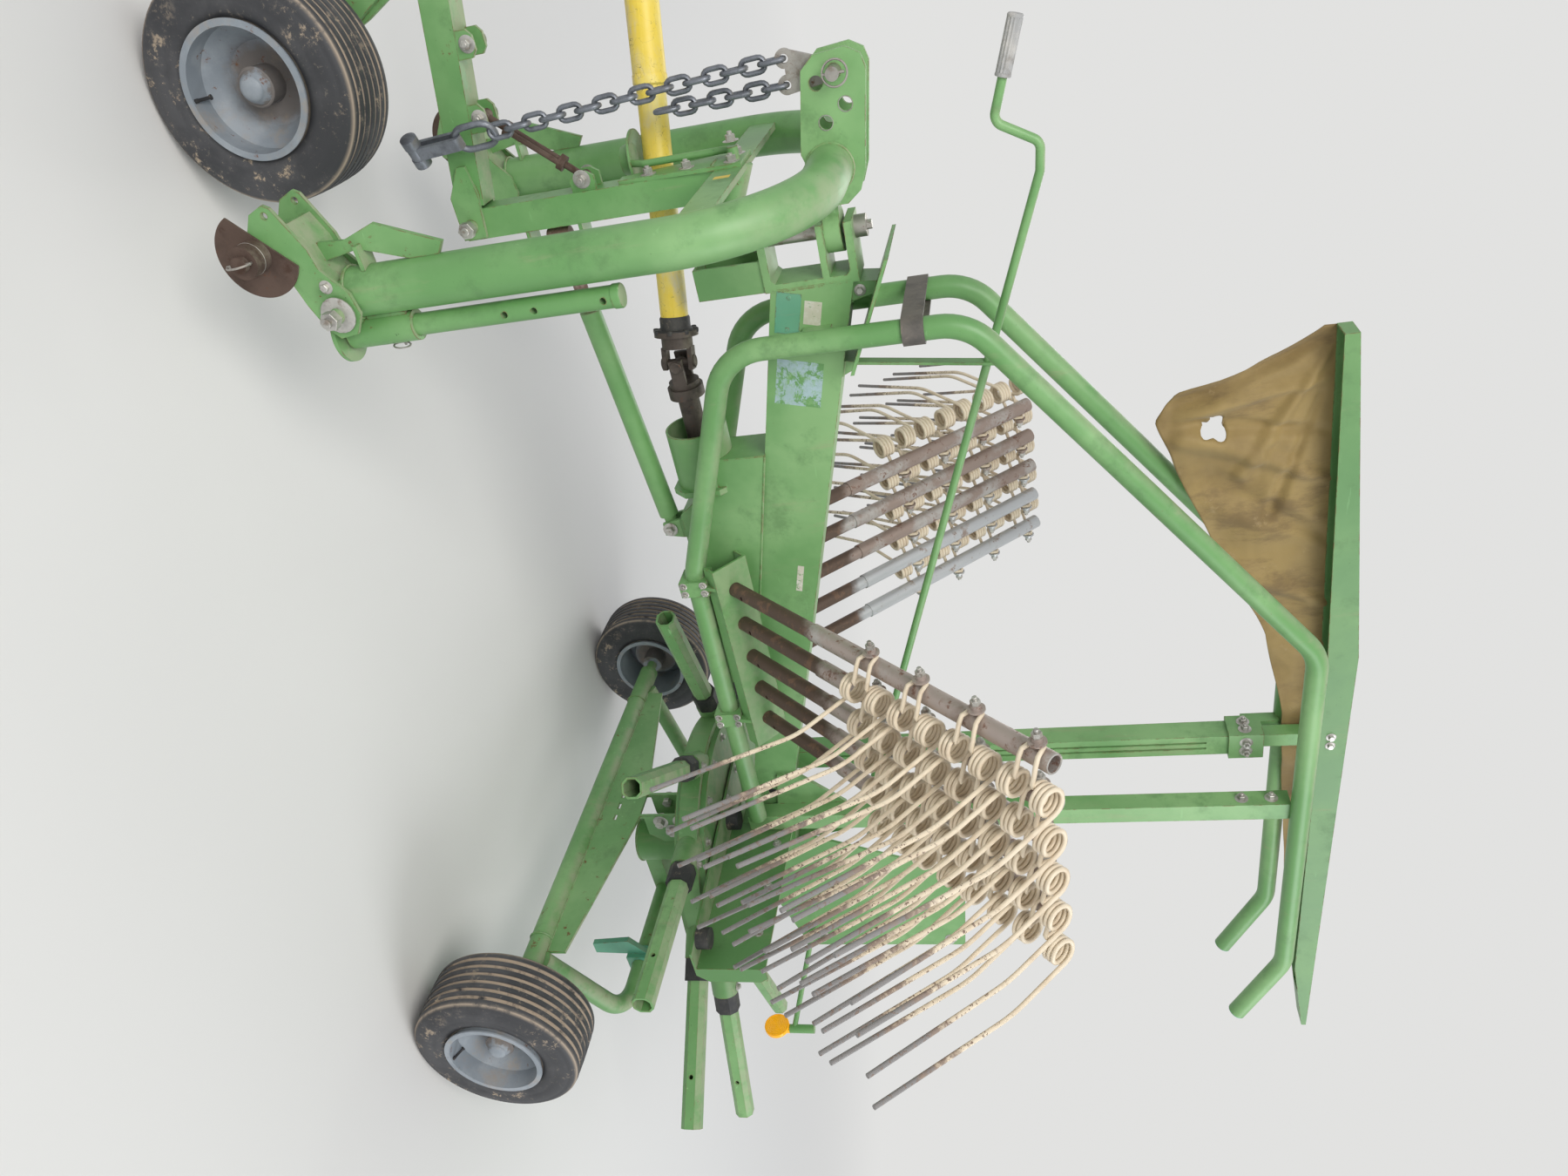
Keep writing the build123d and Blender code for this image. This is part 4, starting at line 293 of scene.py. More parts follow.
class Finish:
    """A node material that is built layer by layer over the object's own coordinates."""

    def __init__(self, name, colour, rough, metal=0.0):
        self.material = bpy.data.materials.new(name)
        self.material.use_nodes = True
        self.material.diffuse_color = (*colour, 1)
        self.tree = self.material.node_tree
        self.shader = self.tree.nodes["Principled BSDF"]
        fill(self.tree, self.shader, {"Metallic": metal})
        self.place = self.node("TexCoord").outputs["Object"]
        self.colour = self.fixed("RGB", (*colour, 1))
        self.rough = self.fixed("Value", rough)
        self.height = None

    def node(self, kind, sockets=None, **settings):
        return add_node(self.tree, kind, sockets, **settings)

    def fixed(self, kind, given):
        made = self.node(kind)
        made.outputs[0].default_value = given
        return made.outputs[0]

    def noise(self, scale, detail, rough, stretch=None, distortion=0.0):
        """Noise from 0 to 1; stretch scales the coordinates first."""
        place = self.place
        if stretch:
            place = self.node("Mapping", {"Vector": place, "Scale": stretch}).outputs["Vector"]
        given = {"Vector": place, "Scale": scale, "Detail": detail, "Roughness": rough, "Distortion": distortion}
        return self.node("TexNoise", given).outputs["Fac"]

    def band(self, source, low, high):
        """0 below low and 1 above high, smooth between; works with low above high too."""
        ends = (1.0, 0.0) if low > high else (0.0, 1.0)
        given = {"Value": source, "From Min": min(low, high), "From Max": max(low, high), "To Min": ends[0],
                 "To Max": ends[1]}
        return self.node("MapRange", given, interpolation_type="SMOOTHSTEP").outputs["Result"]

    def patches(self, scale, detail, grit, low, high, **options):
        """Mask of patches where the noise is over high."""
        return self.band(self.noise(scale, detail, grit, **options), low, high)

    def math(self, kind, a, b=0.0):
        return self.node("Math", {0: a, 1: b}, operation=kind).outputs[0]

    def times(self, a, b):
        return self.math("MULTIPLY", a, b)

    def mix(self, mask, base, top, kind):
        a, b, result = MIX_COLOUR if kind == "RGBA" else MIX_NUMBER
        return self.node("Mix", {0: mask, a: base, b: top}, data_type=kind).outputs[result]

    def layer(self, mask, colour, rough, depth=0.0):
        """Lays colour and roughness over what is there where mask is 1; depth raises or sinks it."""
        self.colour = self.mix(mask, self.colour, self.fixed("RGB", (*colour, 1)), "RGBA")
        self.rough = self.mix(mask, self.rough, self.fixed("Value", rough), "FLOAT")
        if depth:
            self.raise_by(mask, depth)

    def patch(self, scale, detail, grit, low, high, colour, rough, share=1.0, depth=0.0, **options):
        """A layer in patches of noise; share weakens it, by a number or by another mask."""
        self.layer(self.times(self.patches(scale, detail, grit, low, high, **options), share), colour, rough, depth)

    def raise_by(self, mask, depth):
        part = self.times(mask, depth)
        self.height = part if self.height is None else self.math("ADD", self.height, part)

    def coordinate(self, letter, centre=(0, 0, 0)):
        place = self.node("VectorMath", {0: self.place, 1: centre}, operation="SUBTRACT").outputs[0]
        return self.node("SeparateXYZ", {0: place}).outputs[letter]

    def radius_about_y(self, centre=(0, 0, 0)):
        x, z = self.coordinate("X", centre), self.coordinate("Z", centre)
        return self.math("SQRT", self.math("ADD", self.times(x, x), self.times(z, z)))

    def normal(self):
        return self.node("NewGeometry").outputs["Normal"]

    def dusted(self, low, high, patches, share):
        """Dust on what faces up by more than low to high, in patches."""
        upward = self.node("SeparateXYZ", {0: self.normal()}).outputs["Z"]
        self.layer(self.times(self.times(self.band(upward, low, high), patches), share), DUST, 0.9)

    def edges(self):
        """1 on sharp edges, 0 on flats."""
        bevel = self.node("Bevel", {"Radius": 0.004}, samples=4)
        dot = self.node("VectorMath", {0: bevel.outputs[0], 1: self.normal()}, operation="DOT_PRODUCT")
        return self.band(dot.outputs["Value"], 0.985, 0.86)

    def done(self, bump=0.35, distance=0.0008, grain=260.0):
        """Fine grain, then the links to the shader."""
        self.raise_by(self.noise(grain, 4, 0.55), 0.25)
        raised = self.node("Bump", {"Strength": bump, "Distance": distance, "Height": self.height})
        given = {"Normal": raised.outputs["Normal"], "Base Color": self.colour, "Roughness": self.rough}
        fill(self.tree, self.shader, given)
        return self.material


def worn_paint(name, colour, faded, rust=0.5, dust=0.35, chips=0.5, rough=0.4, edge=True):
    """Old machine paint: fading, grime, chips down to rust along edges, and dust on what faces up."""
    f = Finish(name, colour, rough)
    f.patch(2.3, 5, 0.6, 0.38, 0.68, faded, rough + 0.08)
    f.patch(9, 8, 0.7, 0.52, 0.72, shade(colour, 0.62), rough + 0.15, 0.55)
    f.patch(14, 7, 0.7, 0.58, 0.74, MUD, 0.8, 0.35, stretch=(1.0, 1.0, 0.16))
    f.patch(120, 5, 0.7, 0.66, 0.72, shade(colour, 0.35), 0.7, 0.5 * chips + 0.2)
    f.patch(60, 4, 0.5, 0.69, 0.73, shade(colour, 1.6, 0.1), 0.6, 0.45 * chips, stretch=(0.15, 1.0, 1.0),
            distortion=0.6)
    spots = f.patches(24, 9, 0.75, 0.72 - 0.09 * rust, 0.76 - 0.07 * rust)
    if edge:
        spots = f.math("MAXIMUM", spots, f.times(f.edges(), f.patches(38, 6, 0.7, 0.5 - 0.06 * chips, 0.6)))
    f.layer(spots, RUST, 0.85, depth=-0.6)
    f.dusted(0.25, 0.95, f.patches(17, 7, 0.65, 0.3, 0.62), dust)
    return f.done()


def worn_metal(name, colour, metal, rough, rust=0.5, blotch=(0.2, 0.15, 0.11), scale=11):
    """Bare or zinc-coated metal with stains and rust."""
    f = Finish(name, colour, rough, metal)
    f.patch(scale, 7, 0.65, 0.42, 0.68, shade(colour, 0.68), rough + 0.12)
    f.patch(scale * 2.7, 8, 0.72, 0.5, 0.66, blotch, rough + 0.25, 0.7)
    f.patch(scale * 3.9, 9, 0.78, 0.68 - 0.16 * rust, 0.78 - 0.12 * rust, RUST, 0.86, depth=0.5)
    f.dusted(0.4, 1.0, f.patches(30, 6, 0.65, 0.35, 0.65), 0.3)
    return f.done(0.4, grain=200.0)


def dusty_rubber(name, colour=(0.022, 0.022, 0.024)):
    f = Finish(name, colour, 0.62)
    f.patch(12, 7, 0.7, 0.45, 0.7, (0.075, 0.07, 0.064), 0.75)
    f.patch(45, 8, 0.75, 0.56, 0.7, MUD, 0.9, 0.5, 0.3)
    return f.done(0.5)


def rim_paint(centre):
    """Dull grey-blue paint with rust round the hub."""
    f = Finish("rim_paint", (0.225, 0.255, 0.285), 0.5)
    f.patch(9, 6, 0.65, 0.42, 0.66, (0.3, 0.33, 0.36), 0.55)
    radius = f.math("ADD", f.radius_about_y(centre), f.times(f.noise(26, 7, 0.7), 0.05))
    ring = f.times(f.band(radius, 0.112, 0.08), f.band(radius, 0.048, 0.056))
    f.layer(f.times(ring, 0.75), (0.15, 0.115, 0.09), 0.8)
    f.patch(34, 9, 0.76, 0.6, 0.68, RUST, 0.86, depth=0.4)
    f.patch(11, 7, 0.7, 0.5, 0.7, MUD, 0.9, 0.5)
    return f.done()


# Rusted arms with zinc left on them; two of the far ones are still silver, and all have dark brown feet
f = Finish("arm_steel", (0.31, 0.24, 0.205), 0.5, 0.4)
f.patch(9, 6, 0.65, 0.45, 0.6, (0.45, 0.425, 0.4), 0.42)
f.patch(12, 6, 0.65, 0.36, 0.5, (0.4, 0.335, 0.3), 0.42, f.band(f.coordinate("Y"), 0.1, 0.2))
f.patch(36, 5, 0.7, 0.54, 0.66, (0.22, 0.125, 0.09), 0.75, depth=0.4)
silver_arms = f.times(f.band(f.coordinate("X"), -0.1, -0.115), f.band(f.coordinate("Y"), -0.05, -0.06))
f.patch(22, 7, 0.7, 0.64, 0.56, (0.5, 0.51, 0.52), 0.36, silver_arms)
foot = f.math("ADD", f.coordinate("Z"), f.times(f.noise(7, 5, 0.6), 0.12))
f.layer(f.band(foot, 1.135, 1.1), (0.105, 0.07, 0.052), 0.62)
f.patch(33, 8, 0.7, 0.5, 0.64, (0.2, 0.12, 0.08), 0.8, f.band(foot, 1.13, 1.09))
arm_steel = f.done(0.4)

# Green strut tube on a rusty rod; the rod is the front end
f = Finish("strut_paint", GREEN, 0.42)
f.patch(3, 5, 0.6, 0.38, 0.68, GREEN_FADED, 0.5)
f.patch(11, 8, 0.74, 0.62, 0.68, (0.13, 0.08, 0.065), 0.8)
bare_rod = f.band(f.coordinate("X"), STRUT_ROD_END - 0.004, STRUT_ROD_END + 0.004)
f.layer(bare_rod, (0.15, 0.09, 0.07), 0.75, 0.3)
f.patch(38, 8, 0.75, 0.5, 0.62, (0.26, 0.19, 0.16), 0.6, bare_rod)
strut_paint = f.done()

# Cream tine paint, speckled below the bend and worn to grey steel towards the tips
f = Finish("tine_paint", (0.72, 0.62, 0.47), 0.42)
f.patch(20, 5, 0.6, 0.45, 0.7, (0.62, 0.51, 0.37), 0.5)
wear = f.node("Attribute", attribute_name="wear").outputs["Fac"]
rough_wear = f.math("ADD", wear, f.times(f.noise(38, 4, 0.6), 0.5))
f.patch(150, 3, 0.6, 0.57, 0.61, (0.2, 0.135, 0.1), 0.75, f.band(wear, 0.22, 0.5), -0.3)
f.layer(f.band(rough_wear, 0.82, 0.94), (0.25, 0.185, 0.145), 0.65)
f.layer(f.band(rough_wear, 0.92, 1.06), (0.215, 0.205, 0.2), 0.38)
f.patch(90, 3, 0.6, 0.56, 0.62, (0.2, 0.15, 0.125), 0.75, f.band(wear, 0.5, 0.7))
tine_paint = f.done(0.25)

# Grey-black tyres; dried mud fills the grooves and splashes over the tread
f = Finish("tyre_rubber", (0.035, 0.036, 0.04), 0.6)
f.patch(7, 6, 0.65, 0.42, 0.66, (0.068, 0.068, 0.072), 0.72)
tread = f.band(f.math("ABSOLUTE", f.coordinate("Y")), 0.075, 0.068)
groove = f.times(f.band(f.radius_about_y(), 0.2025, 0.1995), tread)
f.patch(22, 6, 0.7, 0.3, 0.5, (0.42, 0.34, 0.26), 0.92, groove)
f.patch(28, 9, 0.78, 0.56, 0.64, (0.4, 0.32, 0.235), 0.92, f.patches(5, 4, 0.6, 0.4, 0.6), 0.7)
f.patch(90, 5, 0.7, 0.6, 0.7, (0.3, 0.26, 0.2), 0.9, 0.35)
tyre_rubber = f.done(0.6, 0.0012)

# Faded yellow plastic, cracked and scuffed, with grey dirt along it
f = Finish("guard_plastic", (0.76, 0.56, 0.06), 0.42)
f.patch(5, 6, 0.65, 0.4, 0.66, (0.78, 0.66, 0.2), 0.5)
f.patch(10, 7, 0.7, 0.5, 0.68, (0.56, 0.52, 0.42), 0.8, 0.75, stretch=(0.3, 1, 1))
cracks = f.noise(21, 3, 0.5, distortion=1.2)
f.layer(f.times(f.band(cracks, 0.497, 0.5), f.band(cracks, 0.503, 0.5)), (0.17, 0.12, 0.05), 0.9, -1.0)
f.patch(48, 8, 0.76, 0.66, 0.72, (0.25, 0.17, 0.08), 0.85)
guard_plastic = f.done(0.4)

# Ochre coated cloth with a fine weave, stains and paler scuffs
f = Finish("canvas", (0.29, 0.203, 0.07), 0.66)
f.patch(3.2, 6, 0.6, 0.4, 0.64, (0.195, 0.13, 0.045), 0.72)
f.patch(8, 7, 0.7, 0.52, 0.68, (0.115, 0.072, 0.032), 0.8, 0.6, stretch=(1, 1, 0.35))
f.patch(19, 8, 0.75, 0.6, 0.7, (0.36, 0.27, 0.14), 0.8, 0.5)
for stretch in ((900, 900, 40), (40, 900, 900)):
    f.raise_by(f.noise(1.0, 2, 0.5, stretch=stretch), 0.4)
fill(f.tree, f.shader, {"Sheen Weight": 0.12})
canvas = f.done(0.45, 0.0006, 700.0)

# Amber reflector; its faint emission is a painted glow, since the reflector is no lamp
f = Finish("reflector", (0.95, 0.42, 0.01), 0.16)
f.patch(24, 6, 0.7, 0.56, 0.7, (0.7, 0.32, 0.03), 0.4)
fill(f.tree, f.shader, {"Emission Color": (0.95, 0.5, 0.02, 1), "Emission Strength": 0.12})
glowing_amber = f.done(0.15)

# Grey plastic of the crank's grip
f = Finish("grip_plastic", (0.33, 0.33, 0.325), 0.5)
f.patch(14, 7, 0.7, 0.45, 0.68, (0.47, 0.45, 0.42), 0.65)
f.patch(45, 3, 0.6, 0.55, 0.68, (0.2, 0.18, 0.16), 0.8, 0.5)
grip_plastic = f.done(0.1)

# Cream paper label, stained and scuffed through to the paint
f = Finish("pale_label", (0.52, 0.5, 0.4), 0.7)
f.patch(22, 7, 0.7, 0.42, 0.66, (0.62, 0.61, 0.54), 0.75)
f.patch(70, 8, 0.78, 0.56, 0.64, GREEN, 0.5, depth=-0.4)
pale_label = f.done(0.25)

# Weathered pale blue film; most of its middle has flaked off the green paint
f = Finish("worn_sticker", (0.36, 0.49, 0.52), 0.55)
f.patch(12, 6, 0.7, 0.42, 0.62, (0.3, 0.42, 0.42), 0.65)
f.patch(16, 9, 0.76, 0.5, 0.55, GREEN, 0.45, depth=-0.5, distortion=0.5)
f.patch(60, 8, 0.78, 0.5, 0.6, GREEN_FADED, 0.5, 0.6)
worn_sticker = f.done(0.3)

green = worn_paint("worn_green", GREEN, GREEN_FADED)
green_rough = worn_paint("rusty_green", GREEN, GREEN_FADED, rust=1.3, dust=0.5, chips=1.2)
green_dark = worn_paint("dusty_green", (0.09, 0.225, 0.07), (0.15, 0.3, 0.11), dust=0.42)
teal = worn_paint("teal_repaint", (0.08, 0.3, 0.2), (0.145, 0.36, 0.225), rust=0.35, chips=0.4, rough=0.34)
yellow_mark = worn_paint("yellow_mark", (0.72, 0.52, 0.05), (0.75, 0.6, 0.2), edge=False)
rust_brown = worn_metal("brown_rust", (0.105, 0.068, 0.052), 0.3, 0.7, blotch=RUST_DARK)
bare = worn_metal("bare_steel", (0.42, 0.4, 0.37), 0.75, 0.4, rust=0.6)
zinc = worn_metal("zinc_bolts", (0.52, 0.51, 0.48), 0.7, 0.38, rust=0.3, scale=20)
chain_steel = worn_metal("chain_steel", (0.2, 0.215, 0.245), 0.7, 0.45, 0.4, (0.14, 0.15, 0.17), 30)
oily = worn_metal("oily_cast", (0.075, 0.06, 0.05), 0.35, 0.5, 0.7, (0.025, 0.022, 0.02))
black_rubber = dusty_rubber("black_rubber")
strap_rubber = dusty_rubber("grey_rubber", (0.13, 0.115, 0.1))
# Near-black material for discs in open tube ends: painted shade standing in for the dark insides
painted_inside_shade = dusty_rubber("painted_inside_shade", (0.012, 0.011, 0.01))

WHEELS = {"left": (0, 744, 205), "right": (0, -744, 205), "front": (2045, 130, 205)}
rim_paints = {name: rim_paint(at(*centre)) for name, centre in WHEELS.items()}
LOOKS = (
    (arm_steel, "arms_left arms_right"), (teal, "bow_clamp"), (green_dark, "curtain_rail rotor tray"),
    (green_rough, "axle bow castor cross_member guard_saddle hitch_brackets pto_hook rotor_stubs wheel_arm"),
    (rust_brown, "link_pin_left link_pin_right turnbuckle"), (bare, "link_pin_upper swivel_pin"),
    (black_rubber, "buffers stub_collars"), (strap_rubber, "strap"), (oily, "pto_joint pto_shaft"),
    (guard_plastic, "pto_guard"), (glowing_amber, "reflector"), (strut_paint, "strut"),
)
material_of = {node: material for material, nodes in LOOKS for node in nodes.split()}
material_of.update({"rim_" + name: paint for name, paint in rim_paints.items()})
for node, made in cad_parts.items():
    made.data.materials.clear()
    made.data.materials.append(material_of.get(node, green))

# Tyres: bulged walls, rounded shoulders and ribbed tread

TYRE_WALL = [(118, 72), (124, 77.5), (134, 80.5), (146, 82), (150, 81), (154, 82.2), (168, 81.8), (180, 79.6),
             (184, 77.6), (188, 78), (194, 75), (198.5, 71.5), (201.5, 67.5)]
TREAD_R, TREAD_CROWN, TREAD_HALF = 204.6, 2.2, 67.0
GROOVES, GROOVE_DEPTH, GROOVE_TOP, GROOVE_FLOOR = (52.0, 31.5, 10.5, -10.5, -31.5, -52.0), 6.5, 5.2, 3.4
HUB_OUT, BEAD_OUT, BEAD_R, VALVE_OUT, VALVE_DROP = 59, 85, 118, 52, 92


def tyre_profile():
    """(radius, width) from bead to bead."""
    crown = []
    for middle in GROOVES:
        top = TREAD_R - (middle / TREAD_HALF) ** 2 * TREAD_CROWN
        crown += [(top, middle + GROOVE_TOP), (top - GROOVE_DEPTH, middle + GROOVE_FLOOR),
                  (top - GROOVE_DEPTH, middle - GROOVE_FLOOR), (top, middle - GROOVE_TOP)]
    return TYRE_WALL + crown + [(r, -w) for r, w in reversed(TYRE_WALL)] + [(113, -68), (113, 68), (118, 72)]


for name, centre in WHEELS.items():
    body, middle = "wheel_" + name, at(*centre)
    out = -LEFT if name == "right" else LEFT
    tyre = piece("tyre_" + name + "_ribbed", [lathe(tyre_profile(), Vector((0, 0, 0)), LEFT, 112)], body,
                 tyre_rubber, ["tyre_" + name], smooth_deg=48)
    tyre.location = middle
    hub = middle + out * (HUB_OUT * MM)
    cap = [lathe([(21.6, -3), (22.6, 0.3), (21.5, 3), (16, 6.5), (8, 8.2), (0, 8.8)], hub, out, 28),
           lathe([(34.4, -19), (35.5, -15.5), (33, -13), (24, -12.5), (22.5, -10)], hub, out)]
    piece("hub_cap_" + name, cap, body, rim_paints[name])
    valve_at = middle - UP * (VALVE_DROP * MM) + out * (VALVE_OUT * MM)
    valve = lathe([(5, 0), (5, 3), (3.2, 4), (3.2, 26), (4, 27), (4, 34), (0, 35)], valve_at, out - UP * 0.5, 10)
    piece("valve_" + name, [valve], body, black_rubber)
    bead = wire_ring(middle + out * (BEAD_OUT * MM), out, BEAD_R, 2.2, 72)
    piece("rim_edge_" + name, [bead], body, rim_paints[name])

# Tines: two coils on each clamp, bent legs, and the loop under the bolt

ARM_COUNT, ARM_PITCH = 5, 99.0
ARM_FOOT = Vector((825.0, 125.0, 849.0))
ARM_VECTOR = Vector((32.0, 658.0, 699.0))
TINE_PLACES = (0.516, 0.666, 0.816, 0.965)
WIRE_R, WIRE_SIDES, COIL_R = 4.75, 8, 25.25
COIL_CENTRE = Vector((54.0, -34.0))
COIL_OFFSET, COIL_TURNS, COIL_PITCH = 35.0, 3.0, 9.8
COIL_START_DEG, COIL_STEPS = 200, 20
TINE_BEND, TINE_TIP = Vector((90.0, -183.0)), Vector((5.0, -510.0))
BEND_STEPS, BEND_REACH = 7, 34
SEAT_X = -(20 + WIRE_R + 0.6)
BOLT_SEAT, ARM_END_R = 42.6, 18.5
ROW_MIDDLE_X = ARM_FOOT.x - ARM_PITCH * (ARM_COUNT - 1) / 2
along = ARM_VECTOR.normalized()
rearward = (-FORWARD - along * along.dot(-FORWARD)).normalized()
outward = along.cross(rearward)


def eased(start, corner, end, steps, reach):
    """Two straight runs with a rounded corner, as points."""
    into, out = (corner - start).normalized(), (end - corner).normalized()
    first, last = corner - into * reach, corner + out * reach
    points = [start.lerp(first, k / steps) for k in range(steps)]
    for k in range(steps + 1):
        t = k / steps
        points.append(first * (1 - t) ** 2 + corner * 2 * t * (1 - t) + last * t ** 2)
    return points + [last.lerp(end, k / steps) for k in range(1, steps + 1)]


def half_tine(side, droop):
    """Path and wear values of one wire, in the arm's own frame in mm."""
    path = [Vector((x, y, side * z)) for x, y, z in (
        (SEAT_X, 11, 0), (SEAT_X, 2, 12), (-21, -21, 18), (-8, -29, 19), (10, -36, 19.5), (23, -44, 20))]
    steps = round((COIL_TURNS + COIL_START_DEG / 360) * COIL_STEPS)
    first_z = side * (COIL_OFFSET - COIL_TURNS * COIL_PITCH / 2)
    for k in range(steps + 1):
        angle = radians(COIL_START_DEG) - 2 * pi * k / COIL_STEPS
        z = first_z + side * COIL_PITCH * k / COIL_STEPS
        path.append(Vector((COIL_CENTRE.x + COIL_R * cos(angle), COIL_CENTRE.y + COIL_R * sin(angle), z)))
    last = path[-1]
    bend = Vector((*TINE_BEND, last.z))
    tip = Vector((TINE_TIP.x + droop[0], TINE_TIP.y, last.z + droop[1]))
    leg = eased(last, bend, tip, BEND_STEPS, BEND_REACH)[1:]
    wear = [0.0] * len(path)
    total = (bend - last).length + (tip - bend).length
    travelled = 0.0
    for before, point in zip([last] + leg, leg):
        travelled += (point - before).length
        wear.append(travelled / total)
    return path + leg, wear


def turned(point, right, middle_x=ROW_MIDDLE_X):
    """For the right rack, the point half a turn round the racks' middle; a direction takes middle_x 0."""
    return Vector((2 * middle_x - point.x, -point.y, point.z)) if right else point


def arm_feet():
    return [ARM_FOOT - Vector((ARM_PITCH * k, 0, 0)) for k in range(ARM_COUNT)]


def tine_side(right, seed):
    """All the wires of one rack, and the wear of each of their points."""
    dice = random.Random(seed)
    shapes, values = [], []
    for foot in arm_feet():
        for place in TINE_PLACES:
            middle = foot + ARM_VECTOR * place
            for side in SIDES:
                path, wear = half_tine(side, (dice.uniform(-12, 14), dice.uniform(-9, 9)))
                spots = [middle + rearward * p.x + outward * p.y + along * p.z for p in path]
                shapes.append(tube([at(*turned(spot, right)) for spot in spots], WIRE_R, WIRE_SIDES))
                values += [value for value in wear for _ in range(WIRE_SIDES)]
    return shapes, values


for name, right, seed in (("left", False, 3), ("right", True, 5)):
    shapes, values = tine_side(right, seed)
    piece("tines_" + name + "_coiled", shapes, "frame", tine_paint, ["tines_" + name],
          smooth_deg=50, values={"wear": values})
    heads = []
    for foot in arm_feet():
        for place in TINE_PLACES:
            spot = turned(foot + ARM_VECTOR * place - rearward * BOLT_SEAT, right)
            heads.append(bolt(at(*spot), turned(-rearward, right, 0), 17, stem=7, washer=False))
        heads.append(wire_ring(at(*turned(foot + ARM_VECTOR, right)), turned(along, right, 0), ARM_END_R, 1.6, 24))
    piece("arm_bolts_" + name, heads, "frame", zinc)

# Safety chain: round links, a large link and a strap shackle with its barrel

CHAIN_WIRE, CHAIN_PITCH, CHAIN_W, LINK_PLAY = 10.0, 36.0, 25.0, 0.3
EYE_FRONT, SHACKLE_END, LINKS = Vector((1909.0, 20.0, 1160.0)), Vector((1880.0, 72.0, 525.0)), 16
EYE_REAR, LOOSE_END, LOOSE_LINKS = Vector((1864.0, 20.0, 1158.0)), Vector((1858.0, 14.0, 900.0)), 7
BIG_REACH, BIG_HALF_W, BIG_WIRE, END_TWIST = 41, 25, 13, radians(62)
SHACKLE_DROP, STRAP_END, STRAP_BEND = 50, 50.0, 39.7
STRAP_R, STRAP_HALF_W, STRAP_HALF_T, STRAP_STEPS = 10.3, 13.0, 3.5, 24
BARREL = [(0, 0), (14, 0), (17, 2), (17, 20), (15.5, 21), (15.5, 44), (17, 45), (17, 64), (14, 66), (0, 66)]


def stadium(middle, direction, across, reach, half_w, wire, steps=7):
    """One welded link: reach and half_w are in mm to the wire's middle."""
    path = []
    for side in (1, -1):
        for k in range(steps + 1):
            angle = pi / 2 - pi * k / steps
            ahead = side * (reach - half_w + half_w * cos(angle))
            path.append(middle + (direction * ahead + across * (side * half_w * sin(angle))) * MM)
    return tube(path, wire / 2, 8, closed=True)


def strand(start, end, count):
    """Links from start towards end, then the direction, the next two ways across, and the length."""
    reach = (CHAIN_PITCH + CHAIN_WIRE + LINK_PLAY) / 2
    down = (end - start).normalized()
    ways = (LEFT - down * down.y).normalized(), (FORWARD - down * down.x).normalized()
    links = []
    for k in range(count):
        middle = at(*(start + down * (reach + CHAIN_PITCH * k)))
        links.append(stadium(middle, down, ways[k % 2], reach, CHAIN_W / 2, CHAIN_WIRE))
    return links, down, ways[count % 2], ways[(count + 1) % 2], reach * 2 + CHAIN_PITCH * (count - 1)


def shackle_strap(middle, down, across, other):
    """Flat strap bent to a U; its line is (distance along, distance across) and its section a rectangle."""
    half_turn = [pi * k / STRAP_STEPS for k in range(STRAP_STEPS + 1)]
    bend = [(-STRAP_BEND - STRAP_R * sin(a), STRAP_R * cos(a)) for a in half_turn]
    line = [(STRAP_END, STRAP_R)] + bend + [(STRAP_END, -STRAP_R)]
    points = []
    for length, width in line:
        share = copysign(1, width) if abs(width) > 9 else width / STRAP_R
        back = sqrt(max(0.0, 1 - (width / STRAP_R) ** 2)) if length < -39 else 0.0
        for lift, grow in ((-1, -1), (-1, 1), (1, 1), (1, -1)):
            grow *= STRAP_HALF_T
            points.append(at(*(middle + down * (length - grow * back) + other * (width + grow * share)
                               + across * (lift * STRAP_HALF_W))))
    return points, skin(len(line), 4)


shapes, down, across, other, reached = strand(EYE_FRONT, SHACKLE_END, LINKS)
tip = reached - CHAIN_WIRE / 2 - BIG_WIRE / 2 - LINK_PLAY
twist, lean = cos(END_TWIST), sin(END_TWIST)
across, other = across * twist + other * lean, other * twist - across * lean
big_at = at(*(EYE_FRONT + down * (tip + BIG_REACH)))
shapes.append(stadium(big_at, down, across, BIG_REACH, BIG_HALF_W, BIG_WIRE, 10))
middle = EYE_FRONT + down * (tip + 2 * BIG_REACH - CHAIN_WIRE - LINK_PLAY + SHACKLE_DROP)
shapes.append(shackle_strap(middle, down, across, other))
shapes.append(lathe(BARREL, at(*(middle + down * 46 - across * (BARREL[-1][1] / 2))), across, 28))
shapes += strand(EYE_REAR, LOOSE_END, LOOSE_LINKS)[0]
piece("safety_chain", shapes, "headstock", chain_steel, ["chain"], smooth_deg=45)

# Crank grip: fluted plastic sleeve with a collar at each end, on the rod's cranked end

GRIP_FROM, GRIP_TO = at(1810, 0, 1546), at(1736, 0, 1523)
GRIP_START, GRIP_LENGTH, FLUTES, FLUTE_LOW, FLUTE_HIGH = 6, 92, 14, 13.5, 14.8

grip_axis = (GRIP_FROM - GRIP_TO).normalized()
flutes = corners([FLUTE_LOW, FLUTE_HIGH] * FLUTES)
grip = [
    prism(flutes, GRIP_FROM + grip_axis * (GRIP_START * MM), *basis(grip_axis), GRIP_LENGTH),
    lathe([(8.8, 0), (15, 0.6), (15.4, 3.5), (14.6, 6.5), (12, 7)], GRIP_FROM, grip_axis, 28),
    lathe([(12, 97), (14.6, 97.5), (15, 101), (13, 103.6), (7, 104.3), (0, 104.2)], GRIP_FROM, grip_axis, 28),
]
piece("crank_grip_ribbed", grip, "frame", grip_plastic, ["crank_grip"], smooth_deg=30)

# Reflector: moulded rim and rings over the amber disc

